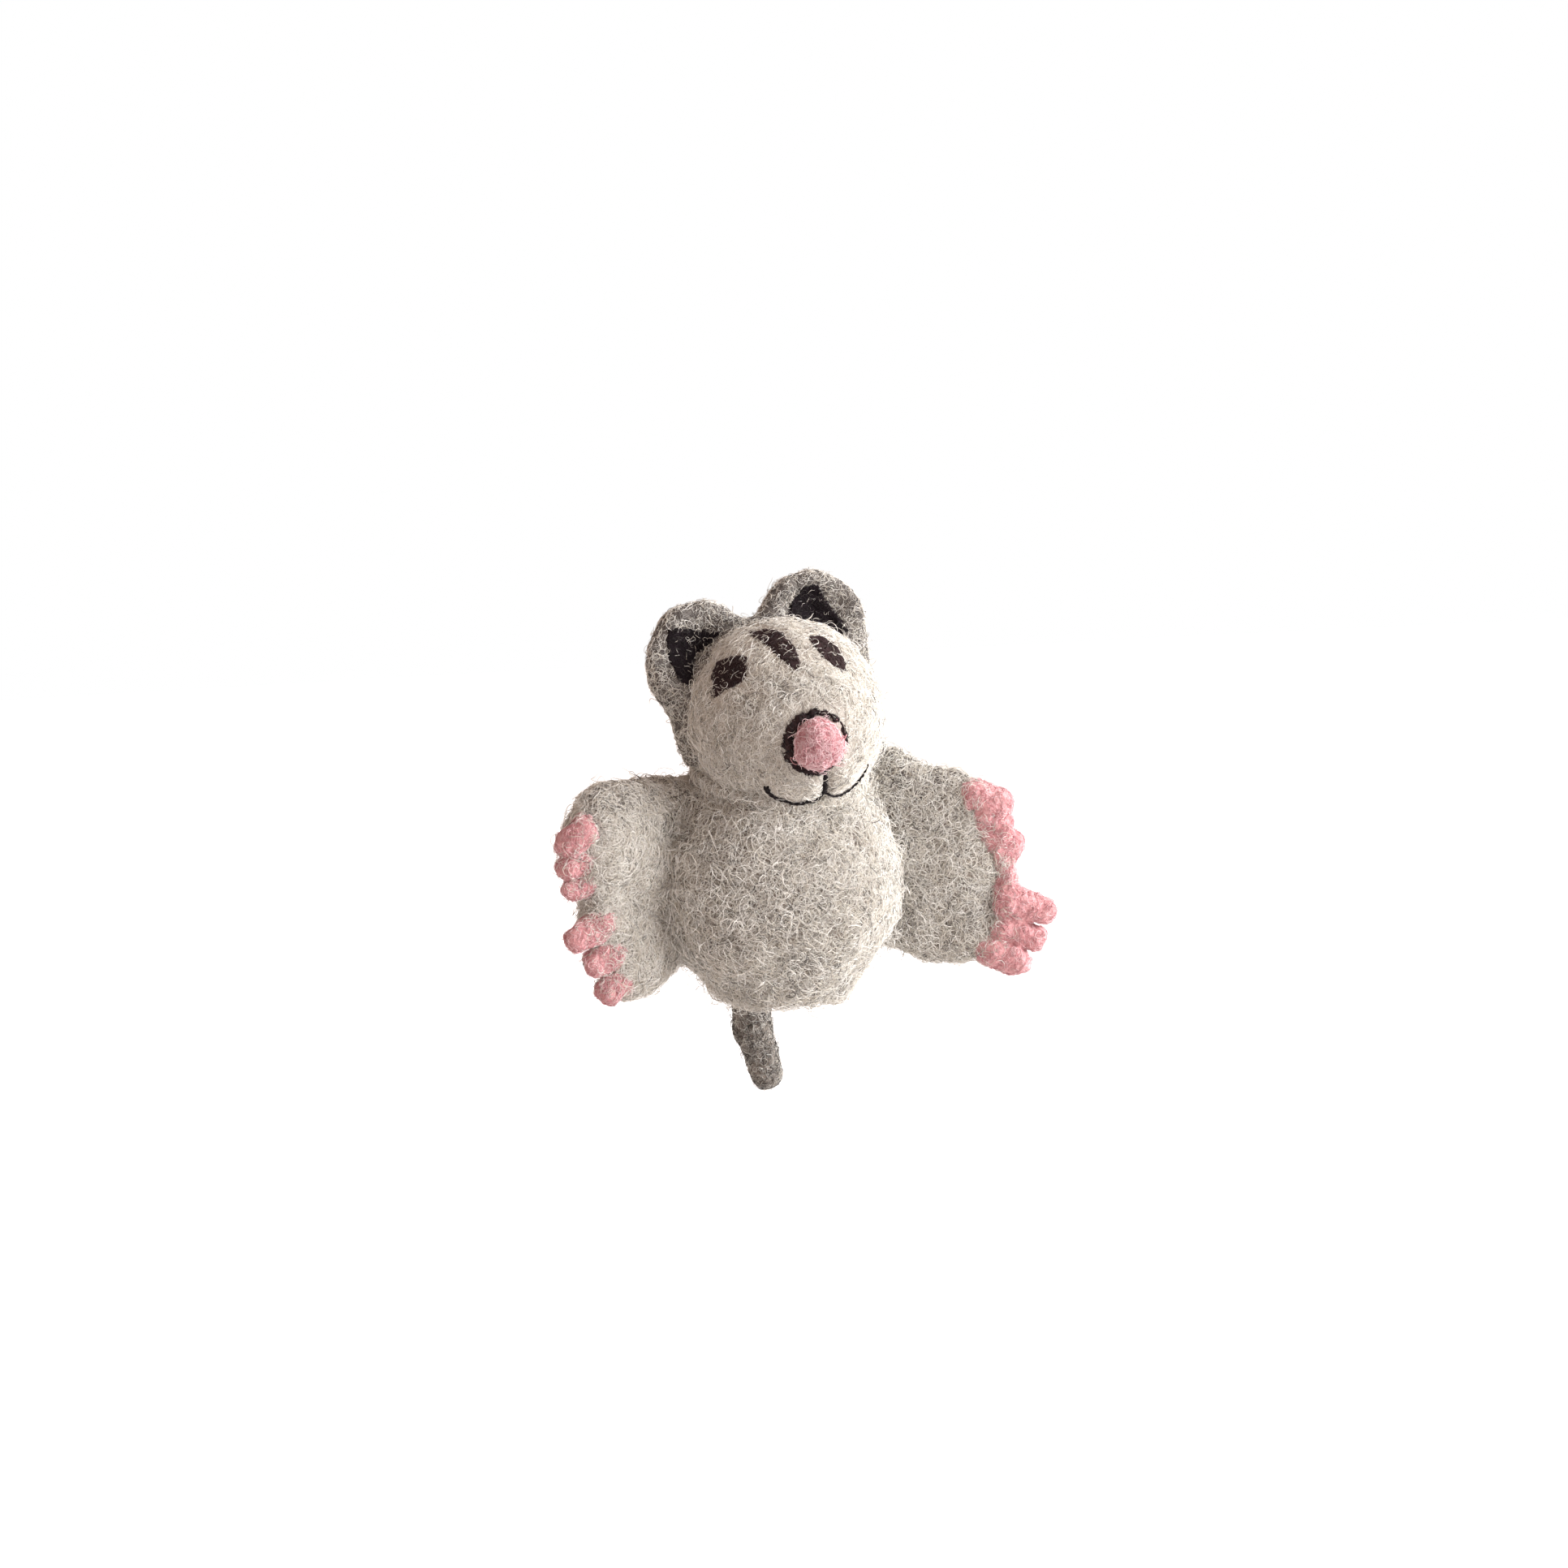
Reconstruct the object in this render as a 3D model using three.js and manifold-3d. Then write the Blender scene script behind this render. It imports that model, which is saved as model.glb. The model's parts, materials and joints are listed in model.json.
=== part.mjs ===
// A felted wool finger puppet of a sugar glider: a round belly with a finger pocket, a head with
// two cupped ears, a wing of arm, leg and web on each side with three toes to a paw, and a tail.
// Millimetres, +Z up. The face looks along -Y, and left and right are the puppet's own, so its
// left is +X. The origin is the centre of the finger opening, on the flat rim under the belly.

import * as THREE from "three";
import { mergeVertices } from "three/addons/utils/BufferGeometryUtils.js";
import Module from "manifold-3d";

// clear space between neighbouring pieces
const GAP = 0.3;

// belly: a superellipse turned about Z, flattened front to back
const BELLY_HALF_WIDTH = 21;
const BELLY_HALF_DEPTH = 18;
const BELLY_HALF_HEIGHT = 22;
const BELLY_CENTRE = [0, -2.5, 20];
const BELLY_POWER = 2.15;
const BELLY_LEVELS = 14;
const BELLY_SEGMENTS = 32;

// finger pocket: a blind hole with a domed end
const POCKET_RADIUS = 8.75;
const POCKET_DEPTH = 27;
const POCKET_DOME_STEPS = 6;

// head: a ball with a muzzle, leaning towards the puppet's right shoulder
const HEAD_CENTRE = [0.8, -6.5, 49];
const HEAD_LEAN = THREE.MathUtils.degToRad(12);
const HEAD_RADIUS = 17;
const HEAD_CORE_RADIUS = 13.2;
const HEAD_OPENING_RADIUS = 3;
const MUZZLE_OFFSET = 6;
const MUZZLE_RADIUS = 12.5;
const NOSE_ELEVATION = -11;
const NOSE_RADIUS = 4.8;
const NOSE_AWAY = 19.2;
const NOSE_RING_RADIUS = 5.2;
const NOSE_RING_THICKNESS = 1.6;
const NOSE_RING_AWAY = 17.2;
const THREAD_RADIUS = 0.4;
const THREAD_LIFT = 0.35;
const PATCH_THICKNESS = 0.7;

// where the dark patches sit on the head: azimuth and elevation in degrees
const EYE_RIGHT_WAY = [-49, 38];
const EYE_LEFT_WAY = [32, 36];
const STRIPE_WAY = [-8, 50];

// hood: the darker wool over the back of the head
const HOOD_THICKNESS = 1;
const HOOD_FRONT_Y = 1;
const HOOD_LOWEST_Z = -9;

// neck: two layers of wool between the head's ball and the belly, all about the head's centre
const NECK_CORE_RADII = [17.3, 18.3];
const NECK_CORE_REACH = 27;
const NECK_WRAP_RADII = [18.6, 19.8];
const NECK_WRAP_REACH = [30, 40];
const NECK_SOCKET_RADIUS = 20.1;

// ears: round flaps, dished in front, measured from the head's centre before it leans
const EAR_RADIUS = 9.6;
const EAR_CENTRE = [10.6, 4, 14];
const EAR_THICKNESS = 5;
const EAR_DISH_RADIUS = 14;
const EAR_DISH_DEPTH = 2.4;
const EAR_ROUNDING = 2;
const LINING_THICKNESS = 0.8;

// wings: each turns about an upright line at its root, and bends forward at rest
const WING_ROOT = [17, 0.5];
const WING_BEND = THREE.MathUtils.degToRad(25);
const FLAP_STEPS = [-36, -18, 18, 36];
const LIMB_THICKNESS = 10;
const LIMB_ROUNDING = 3.2;
const ARM_ROOT_SPAN = [22.4, 39];
const LEG_ROOT_SPAN = [7, 19.7];
const WEB_THICKNESS = 3;
const WEB_ROUNDING = 1;
const TOE_HALF_WIDTH = 2.25;

// tail: a felt roll in two lengths, hanging from the back of the belly
const TAIL_RADIUS = 3.2;
const TAIL_ROOT = [-2.2, 13.2, 4.5];
const TAIL_BEND = [-1.2, 14.2, -8];
const TAIL_END = [1.2, 15.2, -17];
const TAIL_SWING = [-12, 60];
const TAIL_SWEEP_STEP = 12;

// sizes of cutting solids that reach well past what they cut
const OVERCUT = 2;
const CUTTER = 60;
const PATCH_CUTTER = 12;

const material = (color, roughness = 0.95) =>
  new THREE.MeshStandardMaterial({ color, roughness, metalness: 0 });
const GREY_WOOL = 0xb3aea8;
const PALE_WOOL = 0xd6d2ca;
const DARK_WOOL = 0x84827f;
const BROWN_WOOL = 0x43302f;
const BLACK_WOOL = 0x2c2328;
const PINK_WOOL = 0xd98f9d;
const BLACK_THREAD = 0x1b1718;

const wasm = await Module();
wasm.setup();

const rad = THREE.MathUtils.degToRad;

// a closed three.js geometry as a solid that can be cut and joined
function solid(geometry) {
  const bare = geometry.clone();
  bare.deleteAttribute("normal");
  bare.deleteAttribute("uv");
  const merged = mergeVertices(bare, 1e-4);
  const index = merged.index.array;
  const corners = [];
  for (let i = 0; i < index.length; i += 3) {
    const [a, b, c] = index.slice(i, i + 3);
    if (a !== b && b !== c && c !== a) corners.push(a, b, c);
  }
  const vertProperties = new Float32Array(merged.attributes.position.array);
  const triVerts = new Uint32Array(corners);
  return new wasm.Manifold(new wasm.Mesh({ numProp: 3, vertProperties, triVerts }));
}

// a named mesh of a solid
function piece(name, body, color, roughness) {
  const { vertProperties, triVerts } = body.getMesh();
  const geometry = new THREE.BufferGeometry();
  geometry.setAttribute("position", new THREE.BufferAttribute(vertProperties, 3));
  geometry.setIndex(new THREE.BufferAttribute(triVerts, 1));
  geometry.computeVertexNormals();
  const mesh = new THREE.Mesh(geometry, material(color, roughness));
  mesh.name = name;
  return mesh;
}

function ball(radii, centre = [0, 0, 0], segments = 24) {
  const geometry = new THREE.SphereGeometry(1, segments, segments / 2);
  geometry.rotateX(Math.PI / 2);
  geometry.scale(...radii);
  geometry.translate(...centre);
  return solid(geometry);
}

const round = (radius, centre, segments) => ball([radius, radius, radius], centre, segments);

// a profile of [radius, height] points turned about Z
function turned(profile, segments = 24) {
  const points = profile.map(([r, h]) => new THREE.Vector2(r, h));
  const geometry = new THREE.LatheGeometry(points, segments);
  geometry.rotateX(Math.PI / 2);
  return solid(geometry);
}

// an upright cylinder from one height to another
function upright(radius, [x, y], low, high, segments = 18) {
  const geometry = new THREE.CylinderGeometry(radius, radius, high - low, segments);
  geometry.rotateX(Math.PI / 2);
  geometry.translate(x, y, (low + high) / 2);
  return solid(geometry);
}

// points on a circle about the origin, by angle from straight down, as a turned profile
function arc(radius, from, to, steps) {
  const points = [];
  for (let i = 0; i <= steps; i++) {
    const angle = rad(from + ((to - from) * i) / steps);
    points.push([radius * Math.sin(angle), -radius * Math.cos(angle)]);
  }
  return points;
}

// a direction from the head's centre: azimuth from the front towards +X, and elevation
function direction(azimuth, elevation) {
  const level = Math.cos(rad(elevation));
  return new THREE.Vector3(
    Math.sin(rad(azimuth)) * level,
    -Math.cos(rad(azimuth)) * level,
    Math.sin(rad(elevation)),
  );
}

// how far the head's surface lies from its centre, in a direction
function headSurface(way) {
  const cosine = way.dot(direction(0, NOSE_ELEVATION));
  const across = MUZZLE_OFFSET ** 2 * (1 - cosine ** 2);
  const muzzle = MUZZLE_OFFSET * cosine + Math.sqrt(MUZZLE_RADIUS ** 2 - across);
  return Math.max(HEAD_RADIUS, cosine > 0 ? muzzle : 0);
}

// a smooth closed outline through points, as an extruded plate in the XZ plane about y = 0
function plate(points, thickness, rounding, grow = 0, samples = 20) {
  const curve = new THREE.CatmullRomCurve3(
    points.map(([u, w]) => new THREE.Vector3(u, w, 0)),
    true,
    "centripetal",
  );
  const shape = new THREE.Shape(
    curve.getSpacedPoints(samples).slice(0, samples).map((p) => new THREE.Vector2(p.x, p.y)),
  );
  const depth = thickness - 2 * rounding + 2 * grow;
  const geometry = new THREE.ExtrudeGeometry(shape, {
    depth,
    bevelEnabled: rounding > 0,
    bevelThickness: rounding,
    bevelSize: rounding,
    bevelOffset: grow - rounding,
    bevelSegments: 2,
  });
  geometry.translate(0, 0, -depth / 2);
  geometry.rotateX(Math.PI / 2);
  return solid(geometry);
}

// a thread or roll of even thickness through points
function roll(points, radius, sides, steps) {
  const path = new THREE.CatmullRomCurve3(points);
  const section = new THREE.Shape();
  for (let i = 0; i < sides; i++) {
    const angle = (2 * Math.PI * i) / sides;
    const corner = [radius * Math.cos(angle), radius * Math.sin(angle)];
    if (i === 0) section.moveTo(...corner);
    else section.lineTo(...corner);
  }
  section.closePath();
  return solid(new THREE.ExtrudeGeometry(section, { steps, extrudePath: path }));
}

// a round-ended roll from one point to another
function capsule(from, to, radius) {
  const axis = new THREE.Vector3(...to).sub(new THREE.Vector3(...from));
  const geometry = new THREE.CapsuleGeometry(radius, axis.length(), 3, 10);
  const turn = new THREE.Quaternion().setFromUnitVectors(
    new THREE.Vector3(0, 1, 0),
    axis.clone().normalize(),
  );
  geometry.applyQuaternion(turn);
  geometry.translate(...new THREE.Vector3(...from).addScaledVector(axis, 0.5).toArray());
  return solid(geometry);
}

// the largest of the bodies that a cut leaves
function largest(body) {
  return body.decompose().sort((a, b) => b.volume() - a.volume())[0];
}

const group = new THREE.Group();

// ---- belly -------------------------------------------------------------------------------

// width of the belly's superellipse at a height, as a share of its greatest
function bellyShare(z) {
  const height = Math.abs(z - BELLY_CENTRE[2]) / BELLY_HALF_HEIGHT;
  return Math.max(0, 1 - height ** BELLY_POWER) ** (1 / BELLY_POWER);
}

function bellyForm(grow, levels, segments) {
  const top = BELLY_CENTRE[2] + BELLY_HALF_HEIGHT;
  const profile = [[0, 0]];
  for (let i = 0; i < levels; i++) {
    const z = top * Math.sin((Math.PI / 2) * (i / levels));
    profile.push([bellyShare(z), z]);
  }
  profile.push([0, top]);
  const points = profile.map(([share, z]) => new THREE.Vector2(share, z));
  const geometry = new THREE.LatheGeometry(points, segments);
  geometry.rotateX(Math.PI / 2);
  geometry.scale(BELLY_HALF_WIDTH + grow, BELLY_HALF_DEPTH + grow, 1);
  geometry.translate(BELLY_CENTRE[0], BELLY_CENTRE[1], 0);
  return solid(geometry);
}

function pocketSolid() {
  const domeStart = POCKET_DEPTH - POCKET_RADIUS;
  const profile = [
    [0, -OVERCUT],
    [POCKET_RADIUS, -OVERCUT],
  ];
  for (let i = 0; i <= POCKET_DOME_STEPS; i++) {
    const angle = rad((90 * i) / POCKET_DOME_STEPS);
    const radius = i === POCKET_DOME_STEPS ? 0 : POCKET_RADIUS * Math.cos(angle);
    profile.push([radius, domeStart + POCKET_RADIUS * Math.sin(angle)]);
  }
  return turned(profile);
}

// the room that the tail's root sweeps as it swings
function tailSweep() {
  const root = new THREE.Vector3(...TAIL_ROOT);
  const hang = new THREE.Vector3(...TAIL_BEND).sub(root);
  let sweep = round(TAIL_RADIUS + 2 * GAP, TAIL_ROOT, 14);
  for (let swing = TAIL_SWING[0]; swing <= TAIL_SWING[1]; swing += TAIL_SWEEP_STEP) {
    const end = hang.clone().applyAxisAngle(new THREE.Vector3(1, 0, 0), rad(swing)).add(root);
    sweep = sweep.add(capsule(TAIL_ROOT, end.toArray(), TAIL_RADIUS + GAP));
  }
  return sweep;
}

// the round groove that a wing's root turns in
function wingGroove(side, radius) {
  return upright(radius, [side * WING_ROOT[0], WING_ROOT[1]], -OVERCUT, CUTTER);
}

let belly = bellyForm(0, BELLY_LEVELS, BELLY_SEGMENTS).subtract(pocketSolid());
belly = belly.subtract(round(NECK_SOCKET_RADIUS, HEAD_CENTRE, 32)).subtract(tailSweep());
for (const side of [-1, 1]) {
  belly = belly.subtract(wingGroove(side, LIMB_THICKNESS / 2 + GAP));
}
group.add(piece("body", belly, GREY_WOOL));

// ---- neck --------------------------------------------------------------------------------

const neck = new THREE.Group();
neck.position.set(...HEAD_CENTRE);
group.add(neck);

const neckCore = turned(
  [...arc(NECK_CORE_RADII[1], 0, NECK_CORE_REACH, 4), ...arc(NECK_CORE_RADII[0], NECK_CORE_REACH, 0, 4)],
);
neck.add(piece("neck_core", neckCore, GREY_WOOL));

const [wrapLow, wrapHigh] = NECK_WRAP_REACH;
const wrapProfile = [
  ...arc(NECK_WRAP_RADII[1], wrapLow, wrapHigh, 2),
  ...arc(NECK_WRAP_RADII[0], wrapHigh, wrapLow, 2),
];
wrapProfile.push(wrapProfile[0]);
neck.add(piece("neck_wrap", turned(wrapProfile, 28), PALE_WOOL));

// ---- head --------------------------------------------------------------------------------

const head = new THREE.Group();
head.position.set(...HEAD_CENTRE);
head.rotation.y = -HEAD_LEAN;
group.add(head);

const noseWay = direction(0, NOSE_ELEVATION);
const muzzleCentre = noseWay.clone().multiplyScalar(MUZZLE_OFFSET).toArray();
const headForm = round(HEAD_RADIUS, [0, 0, 0], 28).add(round(MUZZLE_RADIUS, muzzleCentre, 24));
const headHollow = round(HEAD_CORE_RADIUS + GAP, [0, 0, 0], 18);
const headOpening = upright(HEAD_OPENING_RADIUS, [0, 0], -HEAD_RADIUS - 1, 0);
head.add(piece("head_skin", headForm.subtract(headHollow).subtract(headOpening), PALE_WOOL));
head.add(piece("head_core", round(HEAD_CORE_RADIUS, [0, 0, 0], 18), GREY_WOOL));

// the hood: a shell over the back of the head, open at the face and at the neck
const hoodInner = HEAD_RADIUS + GAP;
const hoodOuter = hoodInner + HOOD_THICKNESS;
const behindFace = new THREE.BoxGeometry(CUTTER, CUTTER, CUTTER);
behindFace.translate(0, CUTTER / 2 + HOOD_FRONT_Y, CUTTER / 2 + HOOD_LOWEST_Z);
const hood = round(hoodOuter, [0, 0, 0], 24)
  .subtract(round(hoodInner, [0, 0, 0], 28))
  .intersect(solid(behindFace));
head.add(piece("head_hood", hood, DARK_WOOL));

// the nose, and the dark ring felted round its root
const noseCentre = noseWay.clone().multiplyScalar(NOSE_AWAY).toArray();
const nose = round(NOSE_RADIUS, noseCentre, 16);
const headRoom = round(HEAD_RADIUS + GAP, [0, 0, 0], 28).add(
  round(MUZZLE_RADIUS + GAP, muzzleCentre, 24),
);
head.add(piece("nose", nose.subtract(headRoom), PINK_WOOL));

const ringGeometry = new THREE.TorusGeometry(
  NOSE_RING_RADIUS + NOSE_RING_THICKNESS / 2,
  NOSE_RING_THICKNESS / 2,
  6,
  20,
);
ringGeometry.rotateX(Math.PI / 2 + rad(NOSE_ELEVATION));
ringGeometry.translate(...noseWay.clone().multiplyScalar(NOSE_RING_AWAY).toArray());
const ring = solid(ringGeometry)
  .subtract(headRoom)
  .subtract(round(NOSE_RADIUS + GAP, noseCentre, 16));
head.add(piece("nose_ring", ring, BROWN_WOOL));

// a flat patch of felt on the head: a prism along a direction, cut from a shell of the head
function facePatch([azimuth, elevation], outline) {
  const way = direction(azimuth, elevation);
  const shape = new THREE.Shape(outline.map(([u, v]) => new THREE.Vector2(u, v)));
  const prism = new THREE.ExtrudeGeometry(shape, { depth: PATCH_CUTTER, bevelEnabled: false });
  const right = new THREE.Vector3(0, 0, 1).cross(way).normalize();
  const up = way.clone().cross(right).normalize();
  prism.applyMatrix4(new THREE.Matrix4().makeBasis(right, up, way));
  prism.translate(...way.clone().multiplyScalar(HEAD_RADIUS - PATCH_CUTTER / 2).toArray());
  const shell = round(HEAD_RADIUS + GAP + PATCH_THICKNESS, [0, 0, 0], 36)
    .subtract(headRoom);
  return shell.intersect(solid(prism));
}

const EYE_OUTLINE = [
  [-3.2, 0.2],
  [-1.6, 3.1],
  [1.4, 3.4],
  [3.2, 0.8],
  [2.2, -2.4],
  [-1.6, -3.6],
];
const mirrored = (outline) => outline.map(([u, v]) => [-u, v]).reverse();
head.add(piece("eye_patch_right", facePatch(EYE_RIGHT_WAY, EYE_OUTLINE), BROWN_WOOL));
head.add(piece("eye_patch_left", facePatch(EYE_LEFT_WAY, mirrored(EYE_OUTLINE)), BROWN_WOOL));
const STRIPE_OUTLINE = [
  [-2.2, 5.2],
  [-0.4, 5.6],
  [2.0, -1.5],
  [1.6, -5.2],
  [-0.6, -4.6],
  [-2.2, -1.0],
];
head.add(piece("forehead_stripe", facePatch(STRIPE_WAY, STRIPE_OUTLINE), BROWN_WOOL));

// stitches of the mouth, laid on the head's surface through [azimuth, elevation] points
function stitch(points) {
  const lift = THREAD_RADIUS + THREAD_LIFT;
  const places = points.map(([azimuth, elevation]) => {
    const way = direction(azimuth, elevation);
    return way.multiplyScalar(headSurface(way) + lift);
  });
  return roll(places, THREAD_RADIUS, 5, 3 * points.length);
}
const PHILTRUM = [
  [-1, -33],
  [-1, -38],
  [-1, -43],
];
const SMILE_RIGHT = [
  [-4, -45],
  [-14, -47],
  [-26, -44],
  [-35, -37],
  [-38, -29],
];
const SMILE_LEFT = [
  [2, -45],
  [12, -48],
  [23, -47],
  [32, -42],
  [38, -35],
];
head.add(piece("philtrum_stitch", stitch(PHILTRUM), BLACK_THREAD));
head.add(piece("smile_stitch_right", stitch(SMILE_RIGHT), BLACK_THREAD));
head.add(piece("smile_stitch_left", stitch(SMILE_LEFT), BLACK_THREAD));

// the lining's outline on the puppet's left ear, from the ear's centre
const LINING_OUTLINE = [
  [4, 5.6],
  [-4.2, 3.4],
  [4, -4],
];

// an ear and its lining: the dish is part of a large ball that lies in front of the ear
function addEar(side, name) {
  const [x, y, z] = EAR_CENTRE;
  const centre = [side * x, y, z];
  const outline = [];
  for (let i = 0; i < 16; i++) {
    const angle = (2 * Math.PI * i) / 16;
    outline.push([EAR_RADIUS * Math.cos(angle), EAR_RADIUS * Math.sin(angle)]);
  }
  const flap = plate(outline, EAR_THICKNESS, EAR_ROUNDING, 0, 18).translate(centre);
  const front = y - EAR_THICKNESS / 2;
  const dishAway = front + EAR_DISH_DEPTH - EAR_DISH_RADIUS;
  const dish = round(EAR_DISH_RADIUS, [side * x, dishAway, z], 24);
  const hoodRoom = round(hoodOuter + GAP, [0, 0, 0], 24);
  head.add(piece("ear_" + name, flap.subtract(dish).subtract(hoodRoom), DARK_WOOL));

  const corners = LINING_OUTLINE.map(([u, v]) => [side * u, v]);
  const prism = plate(corners, PATCH_CUTTER, 0, 0, 12).translate(centre);
  const felt = round(EAR_DISH_RADIUS - GAP, [side * x, dishAway, z], 24).subtract(
    round(EAR_DISH_RADIUS - GAP - LINING_THICKNESS, [side * x, dishAway, z], 24),
  );
  const lining = felt.intersect(prism).subtract(hoodRoom);
  head.add(piece("ear_lining_" + name, lining, BLACK_WOOL));
}

// ---- wings -------------------------------------------------------------------------------

// outlines in the wing's own plane: distance out from its root, and height
const ARM_OUTLINE = [
  [0, 40],
  [5.5, 40],
  [13, 38.4],
  [19, 35.2],
  [21.8, 30.5],
  [21.4, 25],
  [18, 23],
  [9, 22.4],
  [0, 22.3],
];
const LEG_OUTLINE = [
  [0, 19.8],
  [9, 19],
  [18, 17.4],
  [20.6, 14],
  [18.6, 8.6],
  [15, 3.8],
  [8.5, 4.4],
  [3, 6.2],
  [0, 7],
];
const WEB_OUTLINE = [
  [4.5, 22.3],
  [14, 22.8],
  [21.4, 23.6],
  [23, 20.4],
  [21.6, 16.8],
  [14, 18],
  [4.5, 19.2],
];
// each toe: its root and its tip, in the same plane
const TOES = {
  front: {
    upper: [[21, 32.2], [25.2, 31.6]],
    middle: [[21.2, 27.4], [25.8, 27]],
    lower: [[20.6, 23], [24.8, 22.2]],
  },
  hind: {
    upper: [[19.4, 14.6], [26.4, 12.6]],
    middle: [[17.4, 9.4], [23.4, 7.6]],
    lower: [[15, 5.2], [20.8, 2.6]],
  },
};

function addWing(side, name) {
  const wing = new THREE.Group();
  wing.position.set(side * WING_ROOT[0], WING_ROOT[1], 0);
  wing.rotation.z = -side * WING_BEND;
  group.add(wing);

  const facing = (points) => points.map(([u, w]) => [side * u, w]);
  const limb = (outline, grow) => plate(facing(outline), LIMB_THICKNESS, LIMB_ROUNDING, grow);
  const rootRoll = ([low, high], grow) =>
    upright(LIMB_THICKNESS / 2 + grow, [0, 0], low - grow, high + grow);

  // what the belly and the head take up beside the root, at every angle of the flap
  const beside = bellyForm(2 * GAP, 10, 24)
    .subtract(wingGroove(side, LIMB_THICKNESS / 2))
    .add(round(NECK_WRAP_RADII[0] + GAP, HEAD_CENTRE, 20))
    .translate([-wing.position.x, -wing.position.y, 0])
    .rotate([0, 0, THREE.MathUtils.radToDeg(side * WING_BEND)]);
  let flapRoom = beside;
  for (const flap of FLAP_STEPS) flapRoom = flapRoom.add(beside.rotate([0, 0, flap]));

  const arm = limb(ARM_OUTLINE, 0).add(rootRoll(ARM_ROOT_SPAN, 0));
  const leg = limb(LEG_OUTLINE, 0).add(rootRoll(LEG_ROOT_SPAN, 0));
  wing.add(piece("arm_" + name, largest(arm.subtract(flapRoom)), GREY_WOOL));
  wing.add(piece("leg_" + name, largest(leg.subtract(flapRoom)), GREY_WOOL));

  const armRoom = limb(ARM_OUTLINE, GAP).add(rootRoll(ARM_ROOT_SPAN, GAP));
  const legRoom = limb(LEG_OUTLINE, GAP).add(rootRoll(LEG_ROOT_SPAN, GAP));
  const webForm = (grow) => plate(facing(WEB_OUTLINE), WEB_THICKNESS, WEB_ROUNDING, grow);
  const web = largest(webForm(0).subtract(armRoom).subtract(legRoom).subtract(flapRoom));
  wing.add(piece("web_" + name, web, GREY_WOOL));

  for (const [paw, toes] of Object.entries(TOES)) {
    const room = (paw === "front" ? armRoom : legRoom).add(webForm(GAP));
    for (const [place, [root, tip]] of Object.entries(toes)) {
      const toe = capsule([side * root[0], 0, root[1]], [side * tip[0], 0, tip[1]], TOE_HALF_WIDTH);
      wing.add(piece(["toe", paw, name, place].join("_"), largest(toe.subtract(room)), PINK_WOOL));
    }
  }
}

for (const [side, name] of [[1, "left"], [-1, "right"]]) {
  addEar(side, name);
  addWing(side, name);
}

// ---- tail --------------------------------------------------------------------------------

const bendRoom = round(TAIL_RADIUS + GAP, TAIL_BEND, 14);
const tailRoot = capsule(TAIL_ROOT, TAIL_BEND, TAIL_RADIUS).subtract(bendRoom);
group.add(piece("tail_root", tailRoot, DARK_WOOL));
group.add(piece("tail_tip", capsule(TAIL_BEND, TAIL_END, TAIL_RADIUS), DARK_WOOL));

export default group;
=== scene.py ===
"""Looks of a felted-wool sugar glider finger puppet, built over its CAD frame.

Shapes are distance fields in millimetres, turned into meshes by a surface net. Every piece is
made in the row frame, in metres; the wings and the tail stay there, and the rest ride on CAD bodies.
"""

import json
import math

import bpy
import numpy as np
from mathutils import Matrix, Vector


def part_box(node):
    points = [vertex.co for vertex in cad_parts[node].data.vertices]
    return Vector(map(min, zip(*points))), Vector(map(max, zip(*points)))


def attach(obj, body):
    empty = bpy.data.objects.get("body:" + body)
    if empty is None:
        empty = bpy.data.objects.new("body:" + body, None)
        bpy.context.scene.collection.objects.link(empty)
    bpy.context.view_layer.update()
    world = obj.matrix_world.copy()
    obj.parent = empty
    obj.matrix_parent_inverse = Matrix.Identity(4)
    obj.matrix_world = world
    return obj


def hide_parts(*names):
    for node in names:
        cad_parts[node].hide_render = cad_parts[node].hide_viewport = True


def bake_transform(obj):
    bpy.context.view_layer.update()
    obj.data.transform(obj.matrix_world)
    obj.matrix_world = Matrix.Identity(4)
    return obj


MM = 0.001
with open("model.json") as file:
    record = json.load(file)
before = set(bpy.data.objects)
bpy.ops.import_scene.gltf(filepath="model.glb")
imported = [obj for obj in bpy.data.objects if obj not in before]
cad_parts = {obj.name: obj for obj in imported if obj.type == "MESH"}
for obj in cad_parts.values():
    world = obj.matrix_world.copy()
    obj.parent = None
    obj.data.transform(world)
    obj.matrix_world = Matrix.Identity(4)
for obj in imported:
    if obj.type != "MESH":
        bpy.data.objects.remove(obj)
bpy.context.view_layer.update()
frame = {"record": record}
JOINTS = {j["name"]: j for j in frame["record"]["behaviour"]["joints"]}


def joint_place(name):
    """Where a joint sits, in mm."""
    return np.array(JOINTS[name]["pos_m"], float) / MM


def node_box(name):
    """Lowest and highest corner of a CAD node, in mm."""
    low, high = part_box(name)
    return np.array(low) / MM, np.array(high) / MM


# ---- sizes, in mm ----

# belly, its finger pocket, and the dish that the head turns in
BODY_LOW, BODY_HIGH = node_box("body")
BELLY = np.array([-0.5, (BODY_LOW[1] + BODY_HIGH[1]) / 2, 20.2])
BELLY_RADII = (21.5, 18.0, 20.6)
SHOULDERS = (0, 0.5, 33.5)
SHOULDER_RADII = (17.0, 9.5, 6.8)
POCKET_RADIUS = 8.75
POCKET_DEPTH = 27.0
POCKET_START = -12
LIP_HEIGHT = 1.7
LIP_RADIUS = POCKET_RADIUS + 1.0
LIP_TUBE = 1.4
NECK_DISH = 17.6
DISH_WALL = 0.35
RECESS_DEPTH = 0.9
RECESS_RADIUS = 9.6
# neck: a roll of wool outside, a plug inside
COLLAR_AWAY = 17.75
COLLAR_RISE = 1.3
COLLAR_TUBE = 0.95
PLUG_OUTSIDE = NECK_DISH + 0.7
PLUG_RADIUS = 5.5
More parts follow.
